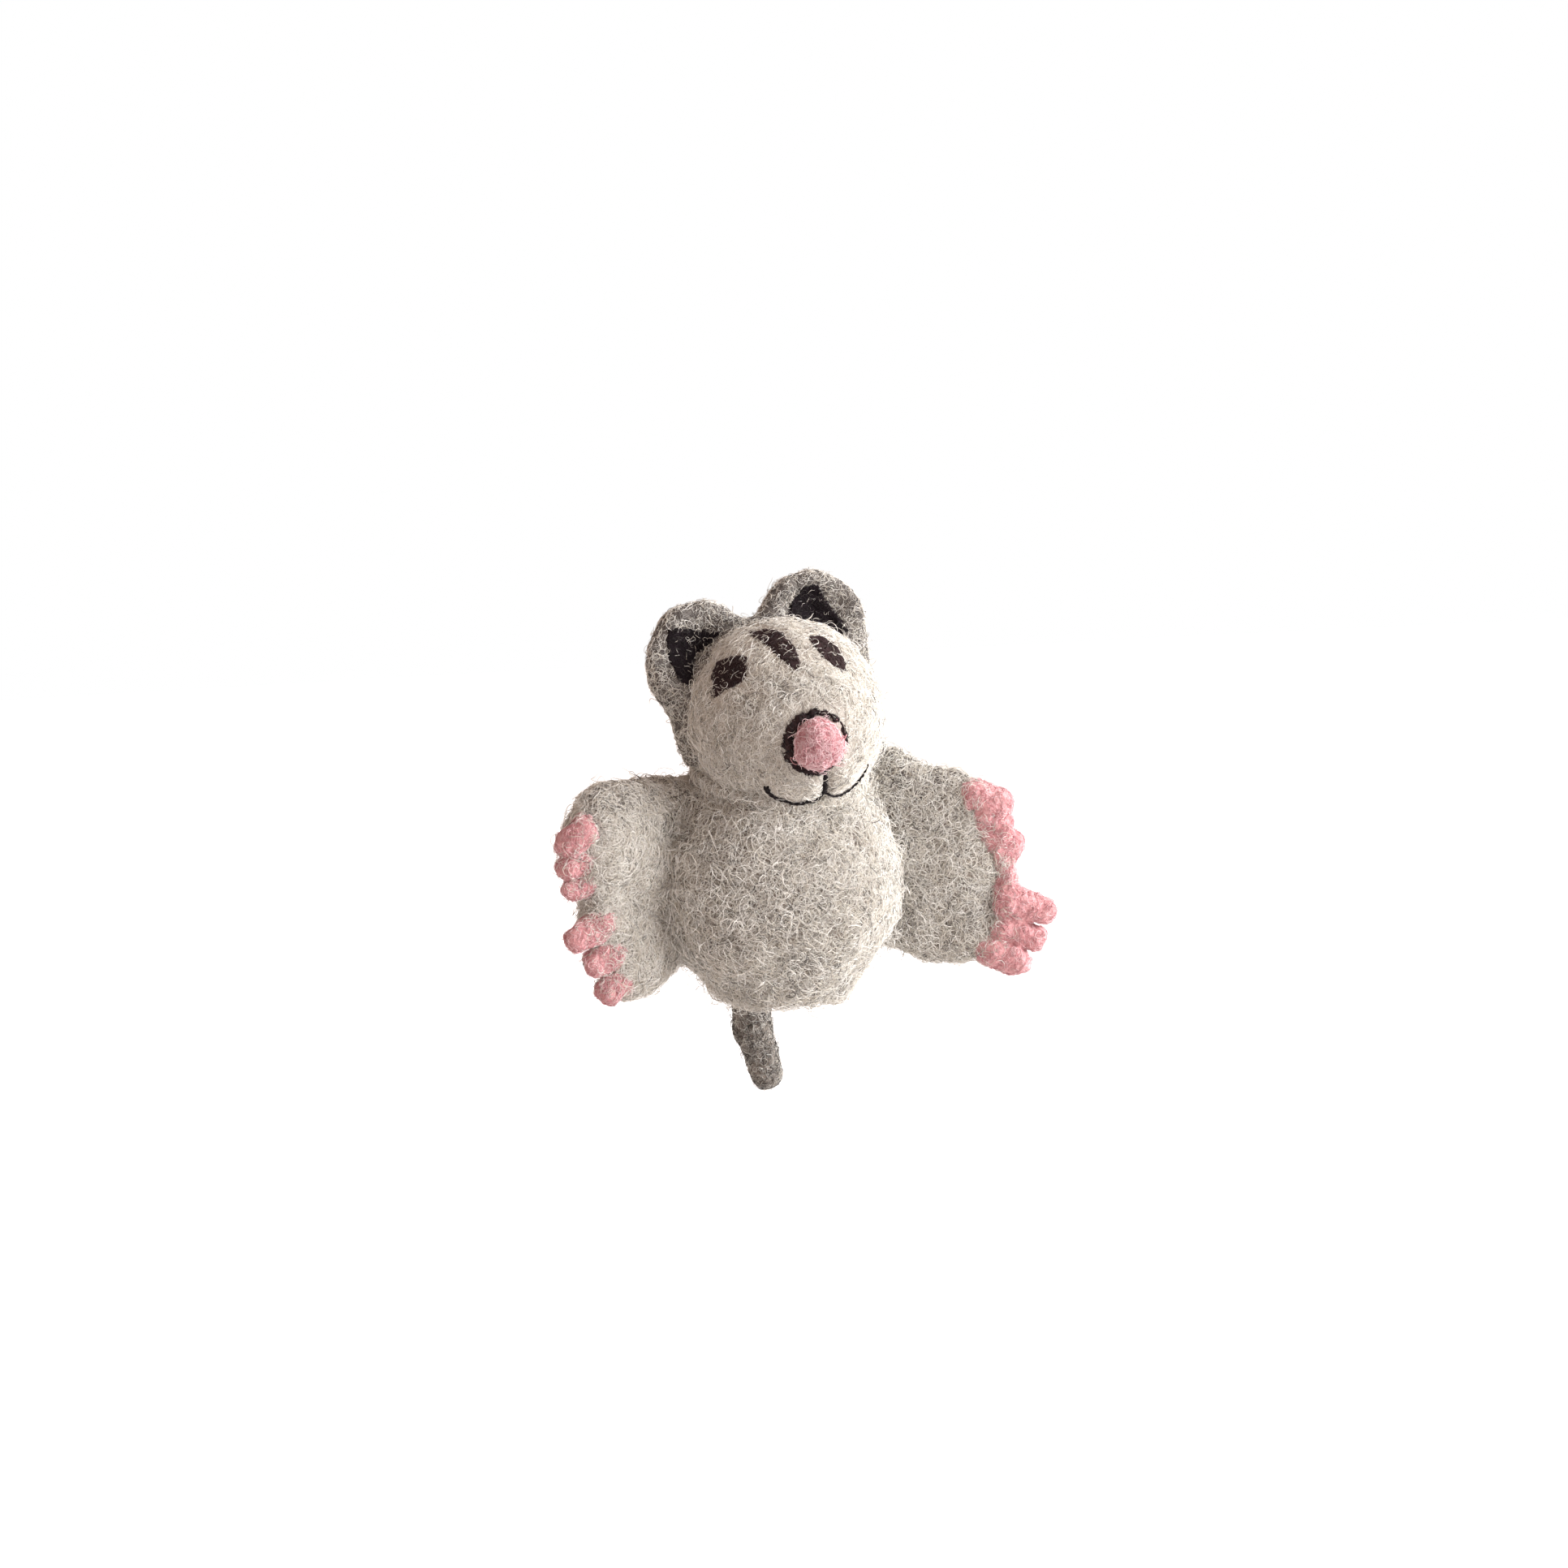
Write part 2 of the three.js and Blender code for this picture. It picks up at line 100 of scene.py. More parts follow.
# head; its points are about its own centre
HEAD = joint_place("head_turn")
HEAD_LEAN = math.radians(12)
HEAD_RADIUS = 17.0
HEAD_HOLLOW = 13.5
HEAD_OPENING = 3.0
STUFFING_RADIUS = 13.0
MUZZLE_OFFSET = 6.0
MUZZLE_RADIUS = 12.5
CHEEK_AZIMUTHS = (-15, 15)
CHEEK_ELEVATION = -33
CHEEK_OFFSET = 12.3
CHEEK_RADIUS = 5.9
LOWEST_NOD = JOINTS["head_nod"]["range_deg"][1]
NOSE_ANGLES = (-2.5, -11)
NOSE_OFFSET = 19.2
NOSE_HALF = 0.35
NOSE_RADII = (4.0, 3.9)
NOSE_RING_OFFSET = 17.4
NOSE_RING_RADIUS = 4.9
PATCH_OFFSET = 17.3
# hood and ears; a point with a side is given for the puppet's left
HOOD_INSIDE = 15.6
HOOD_FRONT = -1.2
HOOD_BOTTOM = -12.0
EAR = (10.5, 4.0, 13.8)
EAR_RADIUS = 7.0
EAR_HALF = 2.65
EAR_DISH = (10.7, -9.2, 14.2)
EAR_DISH_RADIUS = 13.2
LINING = (10.6, 4.0, 13.8)
LOBE_TOP = (15.9, 3.8, 9.5)
LOBE_TOP_RADIUS = 3.4
# wings and tail
WING_BEND = math.radians(25)
WING_MIDDLE = 22.0
WING_ROOT = ((0, 0, 12), (0, 0, 33), 4.0)
TAIL_ROOT = joint_place("tail_swing")
TAIL_BEND = joint_place("tail_curl")
TAIL_RADII = (3.25, 3.2, 2.9)
TAIL_BLEND = np.array([0, 0, 3])
# two kinds of loose fibre: how many lengths each has, how far they turn, in radians, the radius,
# and how many times higher the stray ones stand
LAID = {"label": "fuzz", "steps": 5, "curl": 0.55, "jitter": 0.32, "radius": 0.046, "stray": (2, 5)}
CURLED = {"label": "curls", "steps": 9, "curl": 0.62, "jitter": 0.2, "radius": 0.052, "stray": (1.6, 3.8)}
FIBRE_SIDES = 3
FIBRE_SINK = 0.03
FREE_SHARE = 0.6
FACES_PER_PIECE = 190000
# steps of the grids that surfaces are meshed on
STEP, FINE, FINER, FINEST = 0.5, 0.35, 0.3, 0.25


# ---- fields ----

FAR = 1e9


def unit(v):
    """Vectors made 1 long."""
    return v / np.maximum(np.linalg.norm(v, axis=-1), 1e-6)[..., None]


def mirrored(point, side):
    """A place given for the left side, or its mirror image for the right."""
    return np.array([side * point[0], *point[1:]])


def ellipsoid(p, centre, radii):
    """Near its surface, about the distance to it."""
    q = p - np.array(centre)
    r = np.array(radii, float)
    share = np.linalg.norm(q / r, axis=1)
    slope = np.linalg.norm(q / (r * r), axis=1)
    return share * (share - 1) / np.maximum(slope, 1e-6)


def ball(p, centre, radius):
    return np.linalg.norm(p - np.array(centre), axis=1) - radius


def capsule(p, a, b, radius_a, radius_b=None):
    """A rod with round ends, whose radius may change along it."""
    a, b = np.array(a, float), np.array(b, float)
    radius_b = radius_a if radius_b is None else radius_b
    along = np.clip(((p - a) @ (b - a)) / ((b - a) @ (b - a)), 0, 1)
    return np.linalg.norm(p - a - along[:, None] * (b - a), axis=1) - (
        radius_a + (radius_b - radius_a) * along
    )


def ring(p, centre, way, radius, tube):
    """A torus round a direction; tube may be an array."""
    q = p - np.array(centre)
    along = q @ way
    out = np.linalg.norm(q - along[:, None] * way, axis=1)
    return np.hypot(out - radius, along) - tube


def join(a, b, soft):
    """Union with a fillet of size soft."""
    h = np.maximum(soft - np.abs(a - b), 0) / soft
    return np.minimum(a, b) - h * h * soft / 4


def meet(a, b, soft):
    """Intersection with a rounded edge."""
    return -join(-a, -b, soft)


def cut(a, b, soft):
    """a without b, with a rounded edge."""
    return meet(a, -b, soft)


def smooth(x, low, high):
    """0 up to low and 1 from high on, with an easy turn between."""
    t = np.clip((x - low) / (high - low), 0, 1)
    return t * t * (3 - 2 * t)


def lumps(p, size, depth, seed):
    """Gentle unevenness of hand-felted wool: a sum of waves in random directions."""
    rng = np.random.default_rng(seed)
    total = np.zeros(len(p))
    count = 12
    for _ in range(count):
        way = rng.normal(size=3)
        way *= 2 * math.pi / size * rng.uniform(0.6, 1.4) / np.linalg.norm(way)
        total += np.sin(p @ way + rng.uniform(0, 2 * math.pi))
    return depth * total / math.sqrt(count / 2)


def felted(p, seed):
    """The unevenness every felted part has."""
    return lumps(p, 9, 0.14, seed) + lumps(p, 3.2, 0.05, seed + 1) + lumps(p, 1.3, 0.02, seed + 2)


def outline_distance(u, w, outline):
    """Signed distance to a flat outline, less than 0 inside."""
    outline = np.array(outline, float)
    best = np.full(len(u), FAR)
    inside = np.zeros(len(u), bool)
    for (u0, w0), (u1, w1) in zip(outline, np.roll(outline, -1, axis=0)):
        du, dw = u1 - u0, w1 - w0
        t = np.clip(((u - u0) * du + (w - w0) * dw) / (du * du + dw * dw), 0, 1)
        best = np.minimum(best, np.hypot(u - u0 - t * du, w - w0 - t * dw))
        if w0 != w1:
            crosses = (w0 > w) != (w1 > w)
            inside ^= crosses & (u < du * (w - w0) / dw + u0)
    return np.where(inside, -best, best)


def pillow(u, v, w, outline, half, edge):
    """A flat outline made puffy: half thick on each side, rounded over edge at its rim."""
    s = outline_distance(u, w, outline)
    return (np.hypot(np.maximum(s + edge, 0), v * edge / half) - edge) * min(1, half / edge)


def direction(azimuth, elevation):
    """A unit vector; azimuth 0 is forward, and both angles are in degrees."""
    a, e = math.radians(azimuth), math.radians(elevation)
    return np.array([math.sin(a) * math.cos(e), -math.cos(a) * math.cos(e), math.sin(e)])


def gradient(field, p, step=0.05):
    """The way a field rises, and how steeply."""
    rises = [field(p + step * axis) - field(p - step * axis) for axis in np.eye(3)]
    slope = np.stack(rises, axis=1) / (2 * step)
    return unit(slope), np.linalg.norm(slope, axis=1)


def settle(field, p, times=2):
    """Moves points onto a field's surface."""
    for _ in range(times):
        way, slope = gradient(field, p)
        p = p - way * (np.clip(field(p), -0.6, 0.6) / np.maximum(slope, 0.3))[:, None]
    return p


# ---- meshes ----


def net(field, low, high, step):
    """Surface net of a field: one vertex in each cell that the surface crosses."""
    low, high = np.array(low, float), np.array(high, float)
    counts = np.ceil((high - low) / step).astype(int) + 1
    axes = [low[i] + step * np.arange(counts[i]) for i in range(3)]
    grid = np.stack(np.meshgrid(*axes, indexing="ij"), -1).reshape(-1, 3)
    values = field(grid).reshape(counts)
    cells = counts - 1
    total = np.zeros((*cells, 3))
    crossings = np.zeros(cells)

    def corner(c):
        """Each cell's value at one of its eight corners."""
        return values[c[0] : c[0] + cells[0], c[1] : c[1] + cells[1], c[2] : c[2] + cells[2]]

    for c in np.ndindex(2, 2, 2):
        for axis in range(3):
            if c[axis]:
                continue
            other = [c[i] + (i == axis) for i in range(3)]
            near, far = corner(c), corner(other)
            crossed = (near < 0) != (far < 0)
            t = np.where(crossed, near / np.where(crossed, near - far, 1), 0)
            place = np.array(c, float) + t[..., None] * np.eye(3)[axis]
            total += crossed[..., None] * place
            crossings += crossed
    live = crossings > 0
    index = np.full(cells, -1)
    index[live] = np.arange(live.sum())
    at = np.argwhere(live)
    points = low + step * (at + total[live] / crossings[live][:, None])

    faces = []
    inside = values < 0
    for axis in range(3):
        b, c = (axis + 1) % 3, (axis + 2) % 3
        first = [slice(1, cells[i]) for i in range(3)]
        first[axis] = slice(0, cells[axis])
        second = list(first)
        second[axis] = slice(1, cells[axis] + 1)
        near, far = inside[tuple(first)], inside[tuple(second)]
        for flip in (False, True):
            here = np.argwhere(near & ~far if not flip else far & ~near)
            here[:, b] += 1
            here[:, c] += 1
            ring_cells = []
            for db, dc in ((-1, -1), (0, -1), (0, 0), (-1, 0)):
                cell = here.copy()
                cell[:, b] += db
                cell[:, c] += dc
                ring_cells.append(index[cell[:, 0], cell[:, 1], cell[:, 2]])
            quads = np.stack(ring_cells, 1)
            faces.append(quads[:, ::-1] if flip else quads)
    return settle(field, points), np.concatenate(faces)


class Place:
    """Where a local frame, in mm, sits in the row frame."""

    def __init__(self, origin=(0, 0, 0), turn=None):
        self.origin = np.array(origin, float)
        self.turn = np.eye(3) if turn is None else np.array(turn, float)

    def out(self, p):
        """Local points in the row frame."""
        return p @ self.turn.T + self.origin


ROW = Place()
HEAD_PLACE = Place(HEAD, Matrix.Rotation(-HEAD_LEAN, 3, "Y"))


def make_object(name, points, faces, place, material_list, face_materials=None):
    """A mesh object from local points in mm and an array of faces, or a list of such arrays."""
    if not len(points):
        raise ValueError(f"{name} has no surface")
    mesh = bpy.data.meshes.new(name)
    row = place.out(points) * MM
    mesh.vertices.add(len(row))
    mesh.vertices.foreach_set("co", row.astype(np.float32).ravel())
    blocks = faces if isinstance(faces, list) else [faces]
    corners = np.concatenate([b.ravel() for b in blocks])
    sizes = np.concatenate([np.full(len(b), b.shape[1]) for b in blocks])
    mesh.loops.add(len(corners))
    mesh.loops.foreach_set("vertex_index", corners.astype(np.int32))
    mesh.polygons.add(len(sizes))
    starts = np.concatenate([[0], np.cumsum(sizes)[:-1]])
    mesh.polygons.foreach_set("loop_start", starts.astype(np.int32))
    mesh.polygons.foreach_set("loop_total", sizes.astype(np.int32))
    mesh.polygons.foreach_set("use_smooth", np.ones(len(sizes), bool))
    for material in material_list:
        mesh.materials.append(material)
    if face_materials is not None:
        mesh.polygons.foreach_set("material_index", face_materials.astype(np.int32))
    mesh.update(calc_edges=True)
    mesh.validate()
    ob = bpy.data.objects.new(name, mesh)
    bpy.context.collection.objects.link(ob)
    return ob


class Felt:
    """A felted piece: its field, its surface and where it sits."""

    def __init__(self, name, field, low, high, material, slot, place=ROW, step=STEP):
        self.name, self.field, self.place, self.slot = name, field, place, slot
        self.points, self.faces = net(field, low, high, step)
        self.object = make_object(name, self.points, self.faces, place, [material])

    def stands_for(self, *nodes, body=None, bend=None):
        """Replaces CAD nodes and rides on a body; given a bend, it rides on neither. Its fuzz does the
        same.
        """
        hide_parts(*nodes)
        self.body, self.bend = body, bend
        hold(self.object, body, bend)


def hold(ob, body, bend):
    """Rides on a body; given a bend (its two bodies, its start and its end), it rides on neither and has
    its place baked into its mesh.
    """
    if bend:
        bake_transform(ob)
    else:
        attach(ob, body)


# ---- fibres ----


def fibre_roots(felt, per_mm2, keep, rng):
    """Points spread over a felted piece, less those that keep leaves out."""
    a, b, c, d = (felt.points[felt.faces[:, i]] for i in range(4))
    area = 0.5 * np.linalg.norm(np.cross(c - a, d - b), axis=1)
    count = int(area.sum() * per_mm2)
    picked = rng.choice(len(area), count, p=area / area.sum())
    s, t = rng.random(count)[:, None], rng.random(count)[:, None]
    near = a[picked] * (1 - s) + b[picked] * s
    far = d[picked] * (1 - s) + c[picked] * s
    roots = near * (1 - t) + far * t
    return roots if keep is None else roots[keep(roots, rng)]


def fibre_spines(field, roots, length, lift, stray, kind, rng):
    """Middle lines of fibres curling over a field, with the field's normals along them."""
    count, steps = len(roots), kind["steps"]
    reach = rng.uniform(*length, count)
    loose = rng.random(count) < stray
    height = np.where(loose, rng.uniform(*kind["stray"], count), 1) * rng.uniform(*lift, count)
    free_end = loose & (rng.random(count) < FREE_SHARE)
    curl = rng.normal(0, kind["curl"], count)
    normal, _ = gradient(field, roots)
    heading = np.cross(normal, rng.normal(size=(count, 3)))
    heading /= np.linalg.norm(heading, axis=1)[:, None]
    spine, normals = [], []
    place = settle(field, roots, 1)
    for k in range(steps + 1):
        normal, _ = gradient(field, place)
        share = k / steps
        rise = np.where(free_end, share**1.3, np.sin(math.pi * share) ** 0.8)
        spine.append(place + normal * (height * rise - FIBRE_SINK)[:, None])
        normals.append(normal)
        turn = (curl + rng.normal(0, kind["jitter"], count))[:, None]
        side = np.cross(normal, heading)
        heading = heading * np.cos(turn) + side * np.sin(turn)
        heading -= normal * np.sum(heading * normal, axis=1)[:, None]
        heading = unit(heading)
        place = settle(field, place + heading * (reach / steps)[:, None], 1)
    return np.stack(spine, 1), np.stack(normals, 1)


def fibre_tubes(spine, normals, kind, rng):
    """A ring of points round each place on the middle lines, thinner at both ends."""
    tangent = unit(np.gradient(spine, axis=1))
    side = unit(np.cross(tangent, normals))
    upward = np.cross(side, tangent)
    along = np.linspace(0, 1, spine.shape[1])
    taper = np.interp(along, [0, 0.2, 0.8, 1], [0.5, 1, 1, 0.4])
    radius = kind["radius"] * rng.uniform(0.7, 1.2, len(spine))[:, None] * taper
    corners = [
        spine + radius[..., None] * (math.cos(angle) * side + math.sin(angle) * upward)
        for angle in np.radians([90, 210, 330])
    ]
    return np.stack(corners, 2)


def tube_faces(rings):
    """Side quads and end triangles of one fibre."""
    index = np.arange(rings * FIBRE_SIDES).reshape(rings, FIBRE_SIDES)
    sides = []
    for i in range(FIBRE_SIDES):
        j = (i + 1) % FIBRE_SIDES
        sides.append(np.stack([index[:-1, i], index[:-1, j], index[1:, j], index[1:, i]], 1))
    return np.concatenate(sides), np.stack([index[0, ::-1], index[-1]])


def fuzz(felt, per_mm2, length, lift, tones, seed, keep=None, stray=0.12, kind=LAID):
    """Loose wool fibres on a felted piece, curling over it, with a stray few that stand away.

    length and lift are ranges in mm, and tones are fibre materials with the share of each.
    """
    rng = np.random.default_rng(seed)
    roots = fibre_roots(felt, per_mm2, keep, rng)
    count = len(roots)
    if not count:
        return
    spine, normals = fibre_spines(felt.field, roots, length, lift, stray, kind, rng)
    tubes = fibre_tubes(spine, normals, kind, rng)
    tone = rng.choice(len(tones), count, p=[share for _, share in tones])
    sides, ends = tube_faces(spine.shape[1])
    each = spine.shape[1] * FIBRE_SIDES
    most = FACES_PER_PIECE // (2 * len(sides) + len(ends))
    for number, first in enumerate(range(0, count, most)):
        part = slice(first, first + most)
        shift = (np.arange(len(tubes[part])) * each)[:, None, None]
        quads, caps = (shift + sides).reshape(-1, 4), (shift + ends).reshape(-1, 3)
        shades = [np.repeat(tone[part], len(sides)), np.repeat(tone[part], len(ends))]
        ob = make_object(
            f"{felt.name}_{kind['label']}_{number + 1}",
            tubes[part].reshape(-1, 3),
            [quads, caps],
            felt.place,
            [material for material, _ in tones],
            np.concatenate(shades),
        )
        hold(ob, felt.body, felt.bend)


# ---- materials ----


def srgb(*values):
    """An 8-bit screen colour as linear RGBA."""
    linear = [
        v / 12.92 if v <= 0.04045 else ((v + 0.055) / 1.055) ** 2.4
        for v in (x / 255 for x in values)
    ]
    return (*linear, 1)


def give(node, values):
    """Sets a node's inputs by name."""
    for name, value in values.items():
        node.inputs[name].default_value = value


def noise(nodes, links, vector, scale, detail=2, roughness=0.5, distortion=0.0):
    """A noise texture node over a vector."""
    node = nodes.new("ShaderNodeTexNoise")
    give(node, {"Scale": scale, "Detail": detail, "Roughness": roughness, "Distortion": distortion})
    links.new(vector, node.inputs["Vector"])
    return node


def arithmetic(nodes, links, kind, a, b):
    """What a math node makes of two values, each a number or a socket."""
    node = nodes.new("ShaderNodeMath")
    node.operation = kind
    for socket, value in zip(node.inputs, (a, b)):
        if isinstance(value, (int, float)):
            socket.default_value = value
        else:
            links.new(value, socket)
    return node.outputs[0]


def vector_step(nodes, links, kind, a, value):
    """What a vector math node makes of a socket and a tuple, a number or a socket."""
    node = nodes.new("ShaderNodeVectorMath")
    node.operation = kind
    links.new(a, node.inputs[0])
    if isinstance(value, tuple):
        node.inputs[1].default_value = value
    elif isinstance(value, (int, float)):
        node.inputs["Scale"].default_value = value
    else:
        links.new(value, node.inputs[1])
    return node.outputs[0]


def strands(nodes, links, coords, fineness):
    """Fine curling strands in four directions, as one height from 0 to 1."""
    bend = noise(nodes, links, coords, 0.8, 2, 0.5)
    bend = vector_step(nodes, links, "SUBTRACT", bend.outputs["Color"], (0.5, 0.5, 0.5))
    bend = vector_step(nodes, links, "SCALE", bend, 2.6)
    curled = vector_step(nodes, links, "ADD", coords, bend)
    height = None
    for turn in ((0, 0, 0), (1.2, 0.4, 0.9), (0.5, 1.3, -0.7), (-0.9, 0.8, 1.9)):
        mapping = nodes.new("ShaderNodeMapping")
        give(mapping, {"Rotation": turn, "Location": (turn[0] * 7, turn[1] * 5, turn[2] * 3)})
        give(mapping, {"Scale": (3.4 * fineness, 3.4 * fineness, 0.5 * fineness)})
        links.new(curled, mapping.inputs["Vector"])
        here = noise(nodes, links, mapping.outputs[0], 1.0, 3, 0.55).outputs["Fac"]
        height = here if height is None else arithmetic(nodes, links, "MAXIMUM", height, here)
    return height


def new_material(name):
    """A material, with its nodes, its links and its shader."""
    material = bpy.data.materials.new(name)
    material.use_nodes = True
    nodes, links = material.node_tree.nodes, material.node_tree.links
    return material, nodes, links, nodes["Principled BSDF"]


def wool(name, dark, mid, light, fineness=1.0, cloud=0.5, sheen=0.25):
    """Heathered wool felt: clouds of tone, crossed by fine darker and lighter strands."""
    material, nodes, links, shader = new_material(name)
    where = nodes.new("ShaderNodeTexCoord").outputs["Object"]
    coords = vector_step(nodes, links, "SCALE", where, 1 / MM)
    height = strands(nodes, links, coords, fineness)
    clouds = noise(nodes, links, coords, 0.22, 3, 0.6).outputs["Fac"]
    specks = noise(nodes, links, coords, 3.2 * fineness, 3, 0.7, 1.5).outputs["Fac"]
    tone = height
    for value, share in ((clouds, cloud), (specks, 0.3)):
        shift = arithmetic(nodes, links, "SUBTRACT", value, 0.5)
        tone = arithmetic(nodes, links, "ADD", tone, arithmetic(nodes, links, "MULTIPLY", shift, share))
    ramp = nodes.new("ShaderNodeValToRGB")
    first, last = ramp.color_ramp.elements
    first.position, first.color = 0.42, srgb(*dark)
    last.position, last.color = 0.82, srgb(*light)
    ramp.color_ramp.elements.new(0.6).color = srgb(*mid)
    links.new(tone, ramp.inputs["Fac"])
    links.new(ramp.outputs["Color"], shader.inputs["Base Color"])
    relief = arithmetic(nodes, links, "ADD", height, arithmetic(nodes, links, "MULTIPLY", specks, 0.5))
    bump = nodes.new("ShaderNodeBump")
    give(bump, {"Strength": 0.5, "Distance": 0.2 * MM})
    links.new(relief, bump.inputs["Height"])
    links.new(bump.outputs["Normal"], shader.inputs["Normal"])
    give(shader, {"Roughness": 0.95, "Specular IOR Level": 0.15})
    give(shader, {"Sheen Weight": sheen, "Sheen Roughness": 0.6})
    return material


def fibre(name, colour, sheen=0.5):
    """One tone of loose fibre: a plain colour, with a slightly uneven gloss along it."""
    material, nodes, links, shader = new_material(name)
    give(shader, {"Base Color": srgb(*colour), "Specular IOR Level": 0.3})
    give(shader, {"Sheen Weight": sheen, "Sheen Roughness": 0.45})
    where = nodes.new("ShaderNodeTexCoord").outputs["Object"]
    gloss = noise(nodes, links, vector_step(nodes, links, "SCALE", where, 1 / MM), 2.0, 2)
    spread = nodes.new("ShaderNodeMapRange")
    give(spread, {"To Min": 0.55, "To Max": 0.85})
    links.new(gloss.outputs["Fac"], spread.inputs["Value"])
    links.new(spread.outputs[0], shader.inputs["Roughness"])
    return material


GREY_FELT = wool("grey_heather", (132, 124, 115), (158, 149, 140), (184, 176, 167), 1.8, 0.6)
FACE_FELT = wool("pale_heather", (150, 143, 134), (190, 184, 175), (217, 212, 203), 1.8, 0.4)
HOOD_FELT = wool("dark_heather", (62, 58, 56), (104, 99, 95), (150, 145, 139), 1.7, 0.5)
CORE_FELT = wool("core_wool", (150, 145, 138), (198, 192, 184), (224, 220, 212))
PINK_FELT = wool("pink_wool", (180, 116, 121), (220, 164, 166), (240, 196, 197), 1.8, 0.4)
NOSE_FELT = wool("nose_wool", (204, 134, 147), (232, 170, 182), (246, 202, 210), 1.8, 0.4, 0.5)
BROWN_FELT = wool("brown_felt", (26, 17, 19), (52, 37, 38), (84, 64, 64), 1.8, 0.5, 0.03)
BLACK_FELT = wool("black_felt", (14, 10, 13), (30, 23, 28), (48, 40, 44), 1.8, 0.5, 0.0)
THREAD = wool("black_thread", (12, 10, 11), (28, 24, 26), (58, 52, 54), 2.2, 0.2, 0.05)
WHITE_FIBRE = fibre("white_fibre", (251, 249, 243))
CREAM_FIBRE = fibre("cream_fibre", (229, 223, 211))
GREY_FIBRE = fibre("grey_fibre", (160, 156, 150))
DARK_FIBRE = fibre("dark_fibre", (74, 70, 68), 0.1)
BROWN_FIBRE = fibre("brown_fibre", (58, 40, 41), 0.05)
BLACK_FIBRE = fibre("black_fibre", (24, 18, 22), 0.03)
PINK_FIBRE = fibre("pink_fibre", (226, 160, 166))
ROSE_FIBRE = fibre("rose_fibre", (196, 122, 130))
BLUSH_FIBRE = fibre("blush_fibre", (250, 216, 220))
GREY_MIX = [(WHITE_FIBRE, 0.5), (CREAM_FIBRE, 0.33), (GREY_FIBRE, 0.15), (DARK_FIBRE, 0.02)]
PALE_MIX = [(WHITE_FIBRE, 0.6), (CREAM_FIBRE, 0.32), (GREY_FIBRE, 0.06), (DARK_FIBRE, 0.02)]
CHAR_MIX = [(DARK_FIBRE, 0.6), (GREY_FIBRE, 0.3), (WHITE_FIBRE, 0.1)]
HOOD_MIX = [(WHITE_FIBRE, 0.34), (CREAM_FIBRE, 0.22), (GREY_FIBRE, 0.24), (DARK_FIBRE, 0.2)]
NOSE_MIX = [(PINK_FIBRE, 0.22), (ROSE_FIBRE, 0.13), (BLUSH_FIBRE, 0.65)]
PINK_MIX = [(PINK_FIBRE, 0.45), (ROSE_FIBRE, 0.15), (BLUSH_FIBRE, 0.4)]
BROWN_MIX = [(BROWN_FIBRE, 0.8), (DARK_FIBRE, 0.15), (CREAM_FIBRE, 0.05)]
BLACK_MIX = [(BLACK_FIBRE, 0.85), (DARK_FIBRE, 0.12), (CREAM_FIBRE, 0.03)]


# ---- belly and neck ----

NOSE_WAY = direction(*NOSE_ANGLES)
UP = np.array([0, 0, 1.0])


def egg(p):
    """The belly's round form, with the shoulders behind the neck."""
    return join(ellipsoid(p, BELLY, BELLY_RADII), ellipsoid(p, SHOULDERS, SHOULDER_RADII), 6)


def beside_neck(p):
    """How far a point is from the upright line through the head's centre."""
    return np.hypot(p[:, 0] - HEAD[0], p[:, 1] - HEAD[1])


def muzzle_form(p):
    """The muzzle with its two cheeks, about the head's centre."""
    form = ball(p, NOSE_WAY * MUZZLE_OFFSET, MUZZLE_RADIUS)
    for azimuth in CHEEK_AZIMUTHS:
        cheek = direction(azimuth, CHEEK_ELEVATION) * CHEEK_OFFSET
        form = join(form, ball(p, cheek, CHEEK_RADIUS), 2.0)
    return form


def chin_room(p, turns, clear):
    """What the muzzle takes up as the head turns and nods, with clear space round it."""
    room = np.full(len(p), FAR)
    for turn in turns:
        for nod in (0, LOWEST_NOD / 2, LOWEST_NOD):
            turned = Matrix.Rotation(math.radians(turn), 3, "Z")
            nodded = Matrix.Rotation(math.radians(nod), 3, "X")
            place = Place(HEAD, turned @ nodded @ Matrix.Rotation(-HEAD_LEAN, 3, "Y"))
            room = np.minimum(room, muzzle_form((p - place.origin) @ place.turn))
    return room - clear


def belly_field(p):
    """The belly with its dish, the recess under the dish, and the finger pocket."""
    form = egg(p)
    cup = ball(p, HEAD, NECK_DISH + DISH_WALL) + 0.9 * np.maximum(form - 0.9, 0)
    form = join(form, cup, 4.5)
    form = join(form, ring(p, (0, 0, LIP_HEIGHT), UP, LIP_RADIUS, LIP_TUBE), 5)
    form = form + felted(p, 11) + lumps(p, 13, 0.25, 17)
    pocket = capsule(p, (0, 0, POCKET_START), (0, 0, POCKET_DEPTH - POCKET_RADIUS), POCKET_RADIUS)
    form = cut(form, pocket + lumps(p, 4, 0.1, 15), 1.2)
    dish = np.minimum(ball(p, HEAD, NECK_DISH), chin_room(p, (-12, 0, 12), 0.35))
    recess = np.maximum(ball(p, HEAD, NECK_DISH + RECESS_DEPTH), beside_neck(p) - RECESS_RADIUS)
    return cut(cut(form, dish, 0.5), recess, 0.3)


